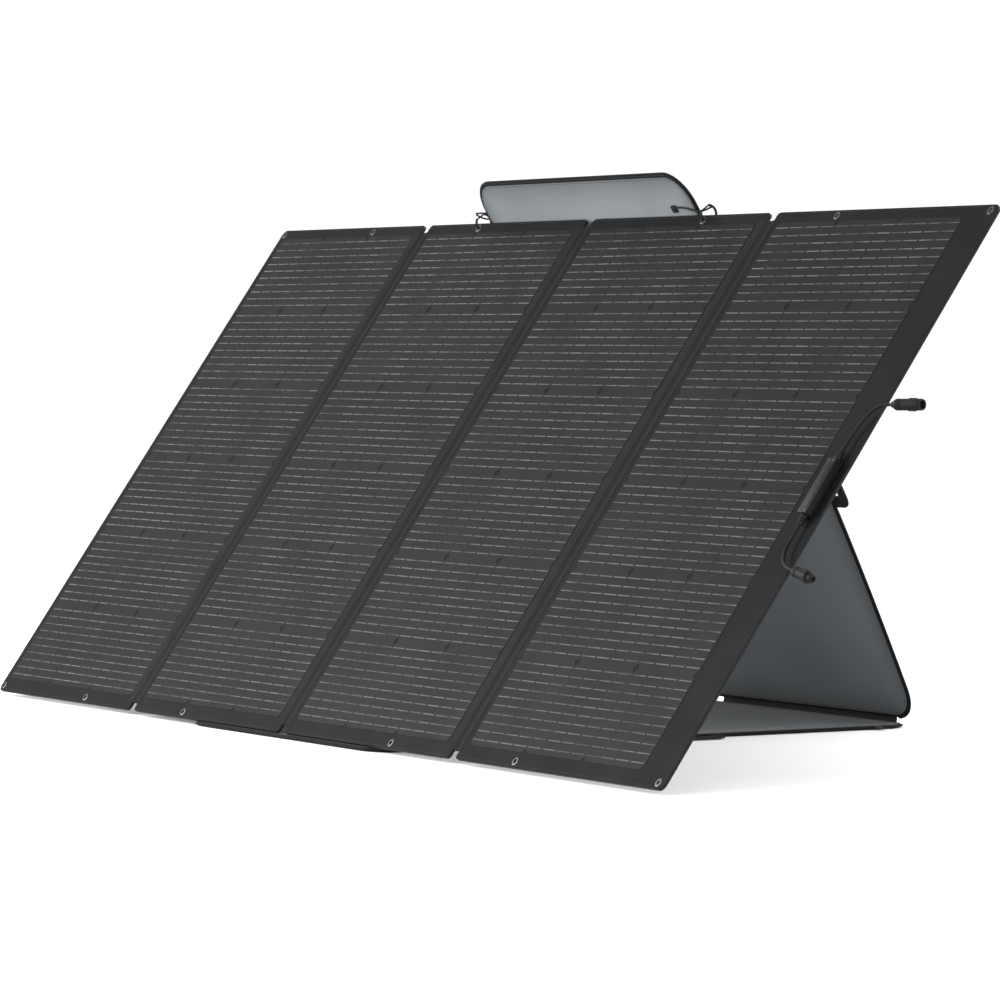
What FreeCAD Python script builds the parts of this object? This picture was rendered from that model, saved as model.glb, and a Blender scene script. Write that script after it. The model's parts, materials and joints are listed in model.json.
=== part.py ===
"""Four-panel folding solar array leaning on its own zip case, which opens into a kickstand.

Row frame: +X along the array's width, +Y to the back, +Z up, millimetres. The origin is on the
ground under the middle of the whole object's box.
"""
import FreeCAD
import Part
import math
import os
import Sketcher
from FreeCAD import Placement, Rotation, Vector

# Driving sizes, millimetres and degrees. Each one can be changed by itself.
SIZES = {
    # array
    "array_height": 1058.0, "array_tilt_deg": 55.0, "panel_1_width": 571.0, "panel_2_width": 579.0,
    "panel_3_width": 585.0, "panel_4_width": 630.0, "fold_gap": 22.0, "fold_notch_depth": 15.0,
    "corner_radius": 12.0, "fold_corner_radius": 8.0, "cover_thickness": 1.2, "board_thickness": 3.0,
    "film_thickness": 1.0, "cell_thickness": 0.5, "ribbon_thickness": 0.3, "strip_thickness": 1.6,
    "pivot_offset": 1.2, "seam_clearance": 0.2,
    # cells and ribbons
    "cell_columns": 3, "cell_rows": 6, "cell_gap": 1.6, "cell_corner_cut": 7.0,
    "cell_margin_bottom": 27.5, "cell_margin_top": 21.7, "cell_inset_1": 19.0, "cell_inset_2": 24.0,
    "cell_inset_3": 27.5, "cell_inset_4": 30.0, "cell_outset_1": 32.2, "cell_outset_2": 35.2,
    "cell_outset_3": 37.7, "cell_outset_4": 80.2, "ribbons_per_cell": 10, "ribbon_inset": 10.15,
    "ribbon_width": 1.6,
    # eyelets and the spring clips that pass through them
    "eyelet_edge": 11.0, "eyelet_bore": 8.0, "eyelet_wall": 1.0, "eyelet_flange": 15.0,
    "eyelet_flange_thickness": 0.8, "eyelet_clearance": 0.1, "eyelet_1_inset": 12.0,
    "eyelet_1_spacing": 357.0, "eyelet_2_inset": 197.0, "eyelet_3_inset": 375.0,
    "eyelet_4_inset": 191.0, "eyelet_4_spacing": 421.0, "clip_radius": 15.0, "clip_wire": 4.4,
    "gate_wire": 3.4, "gate_opening_deg": 70.0, "gate_start_deg": 35.0, "gate_clearance": 0.5,
    "clip_cord_angle_deg": 330.0, "clip_cord_along": 995.0, "cord_clearance": 1.8, "patch_inset": 632.0,
    "patch_size": 14.0, "patch_along": 993.0, "patch_sink": 0.5, "patch_height": 4.0,
    # zip case used as the stand
    "case_width": 708.0, "case_length": 1056.0, "case_corner": 60.0, "case_left_of_middle": 388.0,
    "case_front": 5.0, "shell_thickness": 4.2, "lining_thickness": 2.0, "binding_width": 6.0,
    "zip_width": 3.0, "zip_thickness": 2.4, "spine_gap": 3.0, "spine_rise": 1.0, "lid_bow": 20.0,
    "rest_gap": 0.3, "lean_gap": 0.4, "spine_thickness": 1.2, "spine_end_gap": 14.0,
    # handles and zip sliders
    "handle_span": 240.0, "handle_reach": 42.0, "handle_webbing": 22.0, "handle_thickness": 4.0,
    "handle_gap": 0.4, "handle_corner": 18.0, "handle_anchor": 8.0, "handle_end_radius": 3.0,
    "slider_length": 16.0, "slider_wall": 1.2, "slider_rear": 982.0, "slider_clearance": 0.3,
    "pull_length": 26.0, "pull_width": 7.0, "pull_thickness": 1.6, "pull_radius": 2.0,
    # junction box and leads
    "jbox_right_margin": 16.0, "jbox_width": 23.0, "jbox_length": 100.0, "jbox_bottom": 480.0,
    "jbox_base_height": 13.0, "jbox_cover_height": 4.0, "jbox_corner": 3.0,
    "jbox_wall": 2.0, "jbox_cover_chamfer": 1.0,
    "gland_diameter": 13.0, "gland_length": 18.0, "gland_collar": 9.0, "gland_neck": 10.0,
    "gland_axis_height": 7.5,
    "lead_diameter": 5.0, "plug_diameter": 18.0, "plug_length": 42.0, "plug_nose": 13.5,
    "plug_nose_length": 12.0, "plug_tail": 11.0, "plug_tail_length": 8.0, "loop_cord": 3.2,
}

# Sizes that follow from the driving ones.
DERIVED = {
    "array_width": "panel_1_width + panel_2_width + panel_3_width + panel_4_width",
    "fold_1": "panel_1_width", "fold_2": "panel_1_width + panel_2_width",
    "fold_3": "panel_1_width + panel_2_width + panel_3_width", "half_gap": "fold_gap / 2",
    "cell_base": "-(cell_thickness + ribbon_thickness)", "ribbon_base": "-ribbon_thickness",
    "film_base": "cell_base - film_thickness", "board_base": "film_base - board_thickness",
    "cover_base": "board_base - cover_thickness", "array_thickness": "-cover_base",
    "strip_base": "(cell_base + cover_base - strip_thickness) / 2",
    "cell_pitch_v": "(array_height - cell_margin_bottom - cell_margin_top + cell_gap) / cell_rows",
    "cell_height": "cell_pitch_v - cell_gap",
    "ribbon_pitch": "(cell_height - 2 * ribbon_inset - ribbon_width) / (ribbons_per_cell - 1)",
    "ribbon_bottom": "cell_margin_bottom + ribbon_inset",
    "eyelet_barrel": "eyelet_bore + 2 * eyelet_wall",
    "eyelet_hole": "eyelet_barrel + 2 * eyelet_clearance",
    "case_thickness": "shell_thickness + lining_thickness",
    "zip_base": "(case_thickness - zip_thickness) / 2",
    "spine_width": "case_width - 2 * (case_corner + spine_end_gap)",
    "ring_width": "zip_width + binding_width", "inner_corner": "case_corner - ring_width",
    "pivot_height": "case_thickness + spine_rise",
    "lid_radius": "(case_length * case_length / 4 + lid_bow * lid_bow) / (2 * lid_bow)",
    "handle_level": "(case_thickness - handle_thickness) / 2",
    "lid_handle_level": "-(spine_rise + lid_bow + (case_thickness + handle_thickness) / 2)",
    "gate_length": "2 * clip_radius * sin(gate_opening_deg / 2) - clip_wire - 2 * gate_clearance",
}
for panel in range(1, 5):
    DERIVED[f"cell_pitch_u_{panel}"] = (f"(panel_{panel}_width - cell_inset_{panel} - cell_outset_{panel}"
                                        " + cell_gap) / cell_columns")
    DERIVED[f"cell_width_{panel}"] = f"cell_pitch_u_{panel} - cell_gap"
    DERIVED[f"field_width_{panel}"] = f"cell_columns * cell_pitch_u_{panel} - cell_gap"


def fail(message):
    """Stop the build with a plain reason."""
    raise SystemExit("part.py: " + message)


doc = FreeCAD.newDocument("FoldingSolarArray")
sheet = doc.addObject("Spreadsheet::Sheet", "Sizes")
for row, (alias, value) in enumerate(list(SIZES.items()) + list(DERIVED.items()), start=1):
    sheet.set(f"A{row}", alias)
    sheet.set(f"B{row}", "=" + value if isinstance(value, str) else str(value))
    sheet.setAlias(f"B{row}", alias)
doc.recompute()
SIZE = {alias: float(sheet.get(alias)) for alias in list(SIZES) + list(DERIVED)}

# The array's back bottom edge rests on the case's lining; its front bottom edge is at y = 0.
TILT = math.radians(SIZE["array_tilt_deg"])
FRONT_EDGE_Z = SIZE["case_thickness"] + SIZE["rest_gap"] + SIZE["array_thickness"] * math.cos(TILT)
REAR = SIZE["case_length"] - SIZE["case_front"]
PIVOT = Vector(0, REAR + SIZE["spine_gap"], SIZE["pivot_height"])
TOP_BACK = Vector(0, SIZE["array_height"] * math.cos(TILT) + SIZE["array_thickness"] * math.sin(TILT),
                  FRONT_EDGE_Z + SIZE["array_height"] * math.sin(TILT)
                  - SIZE["array_thickness"] * math.cos(TILT))


def bow_at(along):
    """Depth of the bowed lid's inner face below its chord, at a distance from the pivot."""
    from_middle = along - SIZE["spine_gap"] - SIZE["case_length"] / 2
    return (math.sqrt(SIZE["lid_radius"] ** 2 - from_middle ** 2)
            - (SIZE["lid_radius"] - SIZE["lid_bow"]))


def lid_angle():
    """Angle of the lid's chord from +Y, where its inner face comes to rest on the array."""
    reach = TOP_BACK - PIVOT
    chord = math.atan2(reach.z, reach.y)
    offset = -(SIZE["spine_rise"] + bow_at(reach.Length)) + SIZE["lean_gap"]
    return chord - math.asin(offset / reach.Length)


LID_ANGLE = lid_angle()


def place_array():
    """Panel frame: X across the array from its left edge, Y up its face, Z out of the face."""
    return Placement(Vector(-SIZE["array_width"] / 2, 0, FRONT_EDGE_Z),
                     Rotation(Vector(1, 0, 0), math.degrees(TILT)))


def place_base():
    """Base frame: X from the case's left edge, Y from its front edge, Z from the ground."""
    return Placement(Vector(-SIZE["case_left_of_middle"], -SIZE["case_front"], 0), Rotation())


def place_lid():
    """Lid frame: X from the left edge, Y along the chord from the pivot, Z towards the array."""
    return Placement(Vector(-SIZE["case_left_of_middle"], PIVOT.y, PIVOT.z),
                     Rotation(Vector(1, 0, 0), math.degrees(LID_ANGLE)))


def bind(target, name, expression):
    """Tie one property to an expression of the named sizes."""
    target.setExpression(name, tie(expression))


def tie(expression):
    """Rewrite bare size names as cells of the sheet."""
    out = []
    word = ""
    for letter in str(expression) + " ":
        if letter.isalnum() or letter == "_":
            word += letter
            continue
        out.append("Sizes." + word if word in SIZE else word)
        out.append(letter)
        word = ""
    return "".join(out).strip()


def measure(expression):
    """Value of an expression of the named sizes, as the sheet gives it."""
    if expression in SIZE:
        return SIZE[expression]
    scratch.setExpression("Length", tie(f"1000000 + ({expression})"))
    scratch.recompute()
    return scratch.Length.Value - 1000000


scratch = doc.addObject("Part::Box", "Measure")


def new_body(label):
    """A PartDesign body that may hold several separate solids."""
    body = doc.addObject("PartDesign::Body", label)
    body.Label = label
    body.AllowCompound = True
    return body


def plane_of(body, role):
    """One of the body's own origin planes."""
    return next(item for item in body.Origin.OriginFeatures if item.Role == role)


def new_sketch(body, name, role="XY_Plane", level=None):
    """A sketch on one of the body's origin planes, raised to a level along its normal."""
    sketch = body.newObject("Sketcher::SketchObject", name)
    sketch.AttachmentSupport = (plane_of(body, role), [""])
    sketch.MapMode = "FlatFace"
    if level is not None:
        bind(sketch, "AttachmentOffset.Base.z", level)
    return sketch


def dimension(sketch, kind, name, expression, *points):
    """Add a driving dimension and bind it to an expression."""
    index = sketch.addConstraint(Sketcher.Constraint(kind, *points, measure(expression)))
    sketch.renameConstraint(index, name)
    bind(sketch, "Constraints." + name, expression)


def rounded_rectangle(sketch, tag, left, bottom, right, top, left_radius, right_radius=None):
    """Add a rectangle with tangent corner arcs, every side and radius bound to a size."""
    right_radius = right_radius or left_radius
    x0, y0, x1, y1 = (measure(item) for item in (left, bottom, right, top))
    rl, rr = measure(left_radius), measure(right_radius)
    z_axis = Vector(0, 0, 1)
    corners = [(x0 + rl, y0 + rl, rl, 180), (x1 - rr, y0 + rr, rr, 270),
               (x1 - rr, y1 - rr, rr, 0), (x0 + rl, y1 - rl, rl, 90)]
    arcs = []
    for cx, cy, radius, start in corners:
        circle = Part.Circle(Vector(cx, cy, 0), z_axis, radius)
        arcs.append(sketch.addGeometry(
            Part.ArcOfCircle(circle, math.radians(start), math.radians(start + 90)), False))
    ends = [((x0 + rl, y0), (x1 - rr, y0)), ((x1, y0 + rr), (x1, y1 - rr)),
            ((x1 - rr, y1), (x0 + rl, y1)), ((x0, y1 - rl), (x0, y0 + rl))]
    sides = [sketch.addGeometry(Part.LineSegment(Vector(*a, 0), Vector(*b, 0)), False) for a, b in ends]
    for index in range(4):
        sketch.addConstraint(Sketcher.Constraint("Tangent", arcs[index], 2, sides[index], 1))
        sketch.addConstraint(Sketcher.Constraint("Tangent", sides[index], 2, arcs[(index + 1) % 4], 1))
    for index, kind in enumerate(("Horizontal", "Vertical", "Horizontal", "Vertical")):
        sketch.addConstraint(Sketcher.Constraint(kind, sides[index]))
    sketch.addConstraint(Sketcher.Constraint("Equal", arcs[0], arcs[3]))
    sketch.addConstraint(Sketcher.Constraint("Equal", arcs[1], arcs[2]))
    dimension(sketch, "Radius", tag + "_radius_left", left_radius, arcs[0])
    dimension(sketch, "Radius", tag + "_radius_right", right_radius, arcs[1])
    dimension(sketch, "DistanceX", tag + "_left", left, -1, 1, sides[3], 1)
    dimension(sketch, "DistanceX", tag + "_right", right, -1, 1, sides[1], 1)
    dimension(sketch, "DistanceY", tag + "_bottom", bottom, -1, 1, sides[0], 1)
    dimension(sketch, "DistanceY", tag + "_top", top, -1, 1, sides[2], 1)


def plain_rectangle(sketch, tag, left, bottom, right, top):
    """Add a rectangle with square corners, its sides bound to sizes."""
    x0, y0, x1, y1 = (measure(item) for item in (left, bottom, right, top))
    corners = [Vector(x0, y0, 0), Vector(x1, y0, 0), Vector(x1, y1, 0), Vector(x0, y1, 0)]
    sides = [sketch.addGeometry(Part.LineSegment(a, b), False)
             for a, b in zip(corners, corners[1:] + corners[:1])]
    for index in range(4):
        sketch.addConstraint(Sketcher.Constraint("Coincident", sides[index], 2, sides[(index + 1) % 4], 1))
        sketch.addConstraint(Sketcher.Constraint(("Horizontal", "Vertical")[index % 2], sides[index]))
    dimension(sketch, "DistanceX", tag + "_left", left, -1, 1, sides[0], 1)
    dimension(sketch, "DistanceX", tag + "_right", right, -1, 1, sides[1], 1)
    dimension(sketch, "DistanceY", tag + "_bottom", bottom, -1, 1, sides[0], 1)
    dimension(sketch, "DistanceY", tag + "_top", top, -1, 1, sides[2], 1)


def circle_at(sketch, tag, x, y, diameter):
    """Add a circle, its centre and diameter bound to sizes."""
    index = sketch.addGeometry(
        Part.Circle(Vector(measure(x), measure(y), 0), Vector(0, 0, 1), measure(diameter) / 2), False)
    dimension(sketch, "Diameter", tag + "_diameter", diameter, index)
    dimension(sketch, "DistanceX", tag + "_x", x, -1, 1, index, 3)
    dimension(sketch, "DistanceY", tag + "_y", y, -1, 1, index, 3)


def pad(body, sketch, name, length):
    """Pad a sketch along its normal."""
    feature = body.newObject("PartDesign::Pad", name)
    feature.Profile = sketch
    bind(feature, "Length", length)
    sketch.Visibility = False
    return feature


def pocket(body, sketch, name):
    """Cut a sketch through the whole body, both ways."""
    feature = body.newObject("PartDesign::Pocket", name)
    feature.Profile = sketch
    feature.Type = 1
    feature.Midplane = True
    return feature


def grid(body, feature, name, first, second):
    """Repeat a feature: each direction is (sketch axis, count, spacing)."""
    sketch = feature.Profile[0]
    pattern = body.newObject("PartDesign::LinearPattern", name)
    pattern.Originals = [feature]
    pattern.Direction = (sketch, [first[0]])
    pattern.Mode = "Spacing"
    pattern.Spacings = [-1.0]
    bind(pattern, "Occurrences", first[1])
    bind(pattern, "Offset", first[2])
    if second:
        pattern.Direction2 = (sketch, [second[0]])
        pattern.Mode2 = "Spacing"
        pattern.Spacings2 = [-1.0]
        bind(pattern, "Occurrences2", second[1])
        bind(pattern, "Offset2", second[2])
    body.Tip = pattern
    return pattern


NODES = {}


def keep(item, placement):
    """Place a finished sub-part and list it for export."""
    doc.recompute()
    item.Placement = placement
    NODES[item.Label] = item
    return item


# ---------------------------------------------------------------- the four panels
PANELS = {
    1: ("0", "fold_1 - half_gap", "corner_radius", "fold_corner_radius"),
    2: ("fold_1 + half_gap", "fold_2 - half_gap", "fold_corner_radius", "fold_corner_radius"),
    3: ("fold_2 + half_gap", "fold_3 - half_gap", "fold_corner_radius", "fold_corner_radius"),
    4: ("fold_3 + half_gap", "array_width", "fold_corner_radius", "corner_radius"),
}
PANEL_START = {1: "0", 2: "fold_1", 3: "fold_2", 4: "fold_3"}
EYELET_COLUMNS = {
    1: ["eyelet_1_inset", "eyelet_1_inset + eyelet_1_spacing"],
    2: ["fold_1 + eyelet_2_inset"],
    3: ["fold_2 + eyelet_3_inset"],
    4: ["fold_3 + eyelet_4_inset", "fold_3 + eyelet_4_inset + eyelet_4_spacing"],
}
EYELET_ROWS = ["eyelet_edge", "array_height - eyelet_edge"]


def panel_layer(number, part, base, thickness):
    """One sheet of a panel: the outline with its eyelet holes, padded up from its base level."""
    body = new_body(f"panel_{number}_{part}")
    sketch = new_sketch(body, body.Label + "_outline", level=base)
    left, right, left_radius, right_radius = PANELS[number]
    rounded_rectangle(sketch, "edge", left, "0", right, "array_height", left_radius, right_radius)
    for column, across in enumerate(EYELET_COLUMNS[number]):
        for level, up in enumerate(EYELET_ROWS):
            circle_at(sketch, f"hole_{column}_{level}", across, up, "eyelet_hole")
    pad(body, sketch, body.Label + "_sheet", thickness)
    return keep(body, place_array())


def panel_cells(number):
    """The cells, each with its four corners cut, in columns and rows on the film."""
    body = new_body(f"panel_{number}_cells")
    sketch = new_sketch(body, body.Label + "_cell", level="cell_base")
    left = f"{PANEL_START[number]} + cell_inset_{number}"
    x0, y0 = measure(left), SIZE["cell_margin_bottom"]
    x1, y1, cut = x0 + SIZE[f"cell_width_{number}"], y0 + SIZE["cell_height"], SIZE["cell_corner_cut"]
    points = [(x0 + cut, y0), (x1 - cut, y0), (x1, y0 + cut), (x1, y1 - cut),
              (x1 - cut, y1), (x0 + cut, y1), (x0, y1 - cut), (x0, y0 + cut)]
    corners = [Vector(x, y, 0) for x, y in points]
    sides = [sketch.addGeometry(Part.LineSegment(a, b), False)
             for a, b in zip(corners, corners[1:] + corners[:1])]
    for index in range(8):
        sketch.addConstraint(Sketcher.Constraint("Coincident", sides[index], 2, sides[(index + 1) % 8], 1))
    for index, kind in ((0, "Horizontal"), (2, "Vertical"), (4, "Horizontal"), (6, "Vertical")):
        sketch.addConstraint(Sketcher.Constraint(kind, sides[index]))
    dimension(sketch, "DistanceX", "cut_left_low", "cell_corner_cut", sides[6], 2, sides[0], 1)
    dimension(sketch, "DistanceX", "cut_right_low", "cell_corner_cut", sides[0], 2, sides[2], 1)
    dimension(sketch, "DistanceX", "cut_left_high", "cell_corner_cut", sides[6], 1, sides[4], 2)
    dimension(sketch, "DistanceX", "cut_right_high", "cell_corner_cut", sides[4], 1, sides[2], 2)
    dimension(sketch, "DistanceY", "rise_left_low", "cell_corner_cut", sides[0], 1, sides[6], 2)
    dimension(sketch, "DistanceY", "rise_right_low", "cell_corner_cut", sides[0], 2, sides[2], 1)
    dimension(sketch, "DistanceY", "drop_left_high", "cell_corner_cut", sides[6], 1, sides[4], 2)
    dimension(sketch, "DistanceY", "drop_right_high", "cell_corner_cut", sides[2], 2, sides[4], 1)
    dimension(sketch, "DistanceX", "cell_left", left, -1, 1, sides[6], 1)
    dimension(sketch, "DistanceX", "cell_across", f"cell_width_{number}", sides[6], 2, sides[2], 1)
    dimension(sketch, "DistanceY", "cell_bottom", "cell_margin_bottom", -1, 1, sides[0], 1)
    dimension(sketch, "DistanceY", "cell_up", "cell_height", sides[0], 1, sides[4], 2)
    cell = pad(body, sketch, body.Label + "_pad", "cell_thickness")
    grid(body, cell, body.Label + "_grid", ("H_Axis", "cell_columns", f"cell_pitch_u_{number}"),
         ("V_Axis", "cell_rows", "cell_pitch_v"))
    return keep(body, place_array())


def panel_ribbons(number):
    """Silver ribbons across every row of cells."""
    body = new_body(f"panel_{number}_ribbons")
    sketch = new_sketch(body, body.Label + "_line", level="ribbon_base")
    left = f"{PANEL_START[number]} + cell_inset_{number}"
    plain_rectangle(sketch, "line", left, "ribbon_bottom", f"{left} + field_width_{number}",
                    "ribbon_bottom + ribbon_width")
    line = pad(body, sketch, body.Label + "_pad", "ribbon_thickness")
    grid(body, line, body.Label + "_grid", ("V_Axis", "ribbons_per_cell", "ribbon_pitch"),
         ("V_Axis", "cell_rows", "cell_pitch_v"))
    return keep(body, place_array())


def panel_eyelets(number):
    """Metal eyelets: a barrel through the panel with a flange on each face."""
    body = new_body(f"panel_{number}_eyelets")
    stages = [("back", "cover_base - eyelet_flange_thickness", "eyelet_flange", "eyelet_flange_thickness"),
              ("barrel", "cover_base", "eyelet_barrel", "array_thickness + cell_base"),
              ("front", "cell_base", "eyelet_flange", "eyelet_flange_thickness")]
    for stage, base, outer, length in stages:
        sketch = new_sketch(body, f"{body.Label}_{stage}_ring", level=base)
        for column, across in enumerate(EYELET_COLUMNS[number]):
            for level, up in enumerate(EYELET_ROWS):
                circle_at(sketch, f"outer_{column}_{level}", across, up, outer)
                circle_at(sketch, f"bore_{column}_{level}", across, up, "eyelet_bore")
        pad(body, sketch, f"{body.Label}_{stage}", length)
    return keep(body, place_array())


def fold_strip(number, side):
    """Half of the fabric hinge between two panels, from the panel's edge to the fold line."""
    body = new_body(f"panel_{number}_strip_{side}")
    sketch = new_sketch(body, body.Label + "_outline", level="strip_base")
    if side == "right":
        left, right = f"fold_{number} - half_gap", f"fold_{number} - seam_clearance"
    else:
        left, right = f"fold_{number - 1} + seam_clearance", f"fold_{number - 1} + half_gap"
    plain_rectangle(sketch, "strip", left, "fold_notch_depth", right, "array_height - fold_notch_depth")
    pad(body, sketch, body.Label + "_pad", "strip_thickness")
    return keep(body, place_array())


for panel in PANELS:
    panel_layer(panel, "cover", "cover_base", "cover_thickness")
    panel_layer(panel, "board", "board_base", "board_thickness")
    panel_layer(panel, "film", "film_base", "film_thickness")
    panel_cells(panel)
    panel_ribbons(panel)
    panel_eyelets(panel)
    if panel < 4:
        fold_strip(panel, "right")
    if panel > 1:
        fold_strip(panel, "left")


# ---------------------------------------------------------------- the case's base half
def base_layer(part, inset, base, thickness, corner, inner=None, inner_corner=None):
    """One flat layer of the base: a rounded sheet, or a rounded ring where inner is given."""
    body = new_body(f"base_{part}")
    sketch = new_sketch(body, body.Label + "_outline", level=base)
    rounded_rectangle(sketch, "outer", inset, inset, f"case_width - {inset}",
                      f"case_length - {inset}", corner)
    if inner:
        rounded_rectangle(sketch, "inner", inner, inner, f"case_width - {inner}",
                          f"case_length - {inner}", inner_corner)
    pad(body, sketch, body.Label + "_pad", thickness)
    return body


keep(base_layer("shell", "ring_width", "0", "shell_thickness", "inner_corner"), place_base())
keep(base_layer("lining", "ring_width", "shell_thickness", "lining_thickness", "inner_corner"),
     place_base())
keep(base_layer("binding", "zip_width", "0", "case_thickness", "case_corner - zip_width",
                "ring_width", "inner_corner"), place_base())


def open_zip_side(body, near_end):
    """The zip runs round three sides: cut it away along the fold between the case's halves."""
    sketch = new_sketch(body, body.Label + "_opening")
    low, high = "case_length - zip_width", "case_length + zip_width"
    if near_end:
        low, high = "spine_gap - zip_width", "spine_gap + zip_width * 2"
    plain_rectangle(sketch, "opening", "case_corner", low, "case_width - case_corner", high)
    cut = body.newObject("PartDesign::Pocket", body.Label + "_cut")
    cut.Profile = sketch
    cut.Type = 1
    cut.Midplane = True


zip_ring = base_layer("zip", "0", "zip_base", "zip_thickness", "case_corner", "zip_width",
                      "case_corner - zip_width")
open_zip_side(zip_ring, False)
keep(zip_ring, place_base())


# ---------------------------------------------------------------- the case's lid half, bowed
def bowed_band(part, depth, thickness):
    """A band bowed along its length: its inner face lies at a depth outside the lid's inner face."""
    body = new_body(f"lid_{part}")
    sketch = new_sketch(body, body.Label + "_profile", "YZ_Plane")
    inner, outer = f"lid_radius + {depth}", f"lid_radius + {depth} + {thickness}"
    middle, centre = "spine_gap + case_length / 2", "lid_radius - lid_bow - spine_rise"
    cy, cz = measure(middle), measure(centre)
    half = math.asin(SIZE["case_length"] / 2 / SIZE["lid_radius"])
    down = -math.pi / 2
    arcs = []
    for radius in (measure(inner), measure(outer)):
        circle = Part.Circle(Vector(cy, cz, 0), Vector(0, 0, 1), radius)
        arcs.append(sketch.addGeometry(Part.ArcOfCircle(circle, down - half, down + half), False))
    ends = []
    for angle in (down - half, down + half):
        ray = Vector(math.cos(angle), math.sin(angle), 0)
        ends.append(sketch.addGeometry(Part.LineSegment(
            Vector(cy, cz, 0) + ray * measure(inner), Vector(cy, cz, 0) + ray * measure(outer)), False))
    for line, point in ((ends[0], 1), (ends[1], 2)):
        sketch.addConstraint(Sketcher.Constraint("Coincident", line, 1, arcs[0], point))
        sketch.addConstraint(Sketcher.Constraint("Coincident", line, 2, arcs[1], point))
    sketch.addConstraint(Sketcher.Constraint("Coincident", arcs[0], 3, arcs[1], 3))
    dimension(sketch, "Radius", "inner_radius", inner, arcs[0])
    dimension(sketch, "Radius", "outer_radius", outer, arcs[1])
    dimension(sketch, "DistanceX", "middle", middle, -1, 1, arcs[0], 3)
    dimension(sketch, "DistanceY", "centre", centre, -1, 1, arcs[0], 3)
    for name, line, sign in (("near", ends[0], "-"), ("far", ends[1], "+")):
        for point, reach in ((1, depth), (2, f"{depth} + {thickness}")):
            dimension(sketch, "DistanceX", f"{name}_end_{point}",
                      f"{middle} {sign} case_length / 2 * (1 + ({reach}) / lid_radius)", -1, 1, line, point)
    pad(body, sketch, body.Label + "_band", "case_width")
    return body


def trim_outside(body, inset, corner):
    """Cut a band to a rounded outline, inset from the case's edge."""
    sketch = new_sketch(body, body.Label + "_trim")
    plain_rectangle(sketch, "margin", "-case_corner", "-case_corner", "case_width + case_corner",
                    "case_length + 2 * case_corner")
    rounded_rectangle(sketch, "kept", inset, f"spine_gap + {inset}", f"case_width - {inset}",
                      f"spine_gap + case_length - {inset}", corner)
    pocket(body, sketch, body.Label + "_outside")


def cut_inside(body, inset, corner):
    """Cut a rounded window out of a band, which leaves a ring."""
    sketch = new_sketch(body, body.Label + "_window")
    rounded_rectangle(sketch, "window", inset, f"spine_gap + {inset}", f"case_width - {inset}",
                      f"spine_gap + case_length - {inset}", corner)
    pocket(body, sketch, body.Label + "_inside")


def lid_layer(part, depth, thickness, inset, corner, inner=None, inner_corner=None):
    """One bowed layer of the lid, cut to the same outlines as the base's."""
    body = bowed_band(part, depth, thickness)
    trim_outside(body, inset, corner)
    if inner:
        cut_inside(body, inner, inner_corner)
    return body


keep(lid_layer("lining", "0", "lining_thickness", "ring_width", "inner_corner"), place_lid())
keep(lid_layer("shell", "lining_thickness", "shell_thickness", "ring_width", "inner_corner"),
     place_lid())
keep(lid_layer("binding", "0", "case_thickness", "zip_width", "case_corner - zip_width",
               "ring_width", "inner_corner"), place_lid())
lid_zip = lid_layer("zip", "zip_base", "zip_thickness", "0", "case_corner", "zip_width",
                    "case_corner - zip_width")
open_zip_side(lid_zip, True)
keep(lid_zip, place_lid())


# ---------------------------------------------------------------- spine between the halves
spine = new_body("case_spine")
spine_sketch = new_sketch(spine, "spine_outline")
plain_rectangle(spine_sketch, "spine", "(case_width - spine_width) / 2", "case_length - zip_width",
                "(case_width + spine_width) / 2", "case_length + spine_gap * 2")
pad(spine, spine_sketch, "spine_pad", "spine_thickness")
keep(spine, place_base())


# ---------------------------------------------------------------- webbing handles
def webbing_handle(half, level, start, placement):
    """A flat loop of webbing on the right-hand edge, open towards the case, and its two loops."""
    low = f"{start} + case_length / 2 - handle_span / 2"
    high = f"{start} + case_length / 2 + handle_span / 2"
    near = "case_width + handle_anchor + handle_gap"
    far = "case_width + handle_reach"
    body = new_body(f"{half}_handle")
    sketch = new_sketch(body, body.Label + "_outline", level=level)
    rounded_rectangle(sketch, "outer", near, low, far, high, "handle_end_radius", "handle_corner")
    pad(body, sketch, body.Label + "_pad", "handle_thickness")
    window = new_sketch(body, body.Label + "_window", level=level)
    plain_rectangle(window, "window", "case_width - handle_reach", f"{low} + handle_webbing",
                    "case_width + handle_reach - handle_webbing", f"{high} - handle_webbing")
    pocket(body, window, body.Label + "_grip")
    keep(body, placement)
    loops = new_body(f"{half}_handle_loops")
    sketch = new_sketch(loops, loops.Label + "_outline", level=level)
    plain_rectangle(sketch, "first", "case_width", low, "case_width + handle_anchor",
                    f"{low} + handle_webbing")
    plain_rectangle(sketch, "second", "case_width", f"{high} - handle_webbing",
                    "case_width + handle_anchor", high)
    pad(loops, sketch, loops.Label + "_pad", "handle_thickness")
    keep(loops, placement)


webbing_handle("base", "handle_level", "0", place_base())
webbing_handle("lid", "lid_handle_level", "spine_gap", place_lid())


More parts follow.
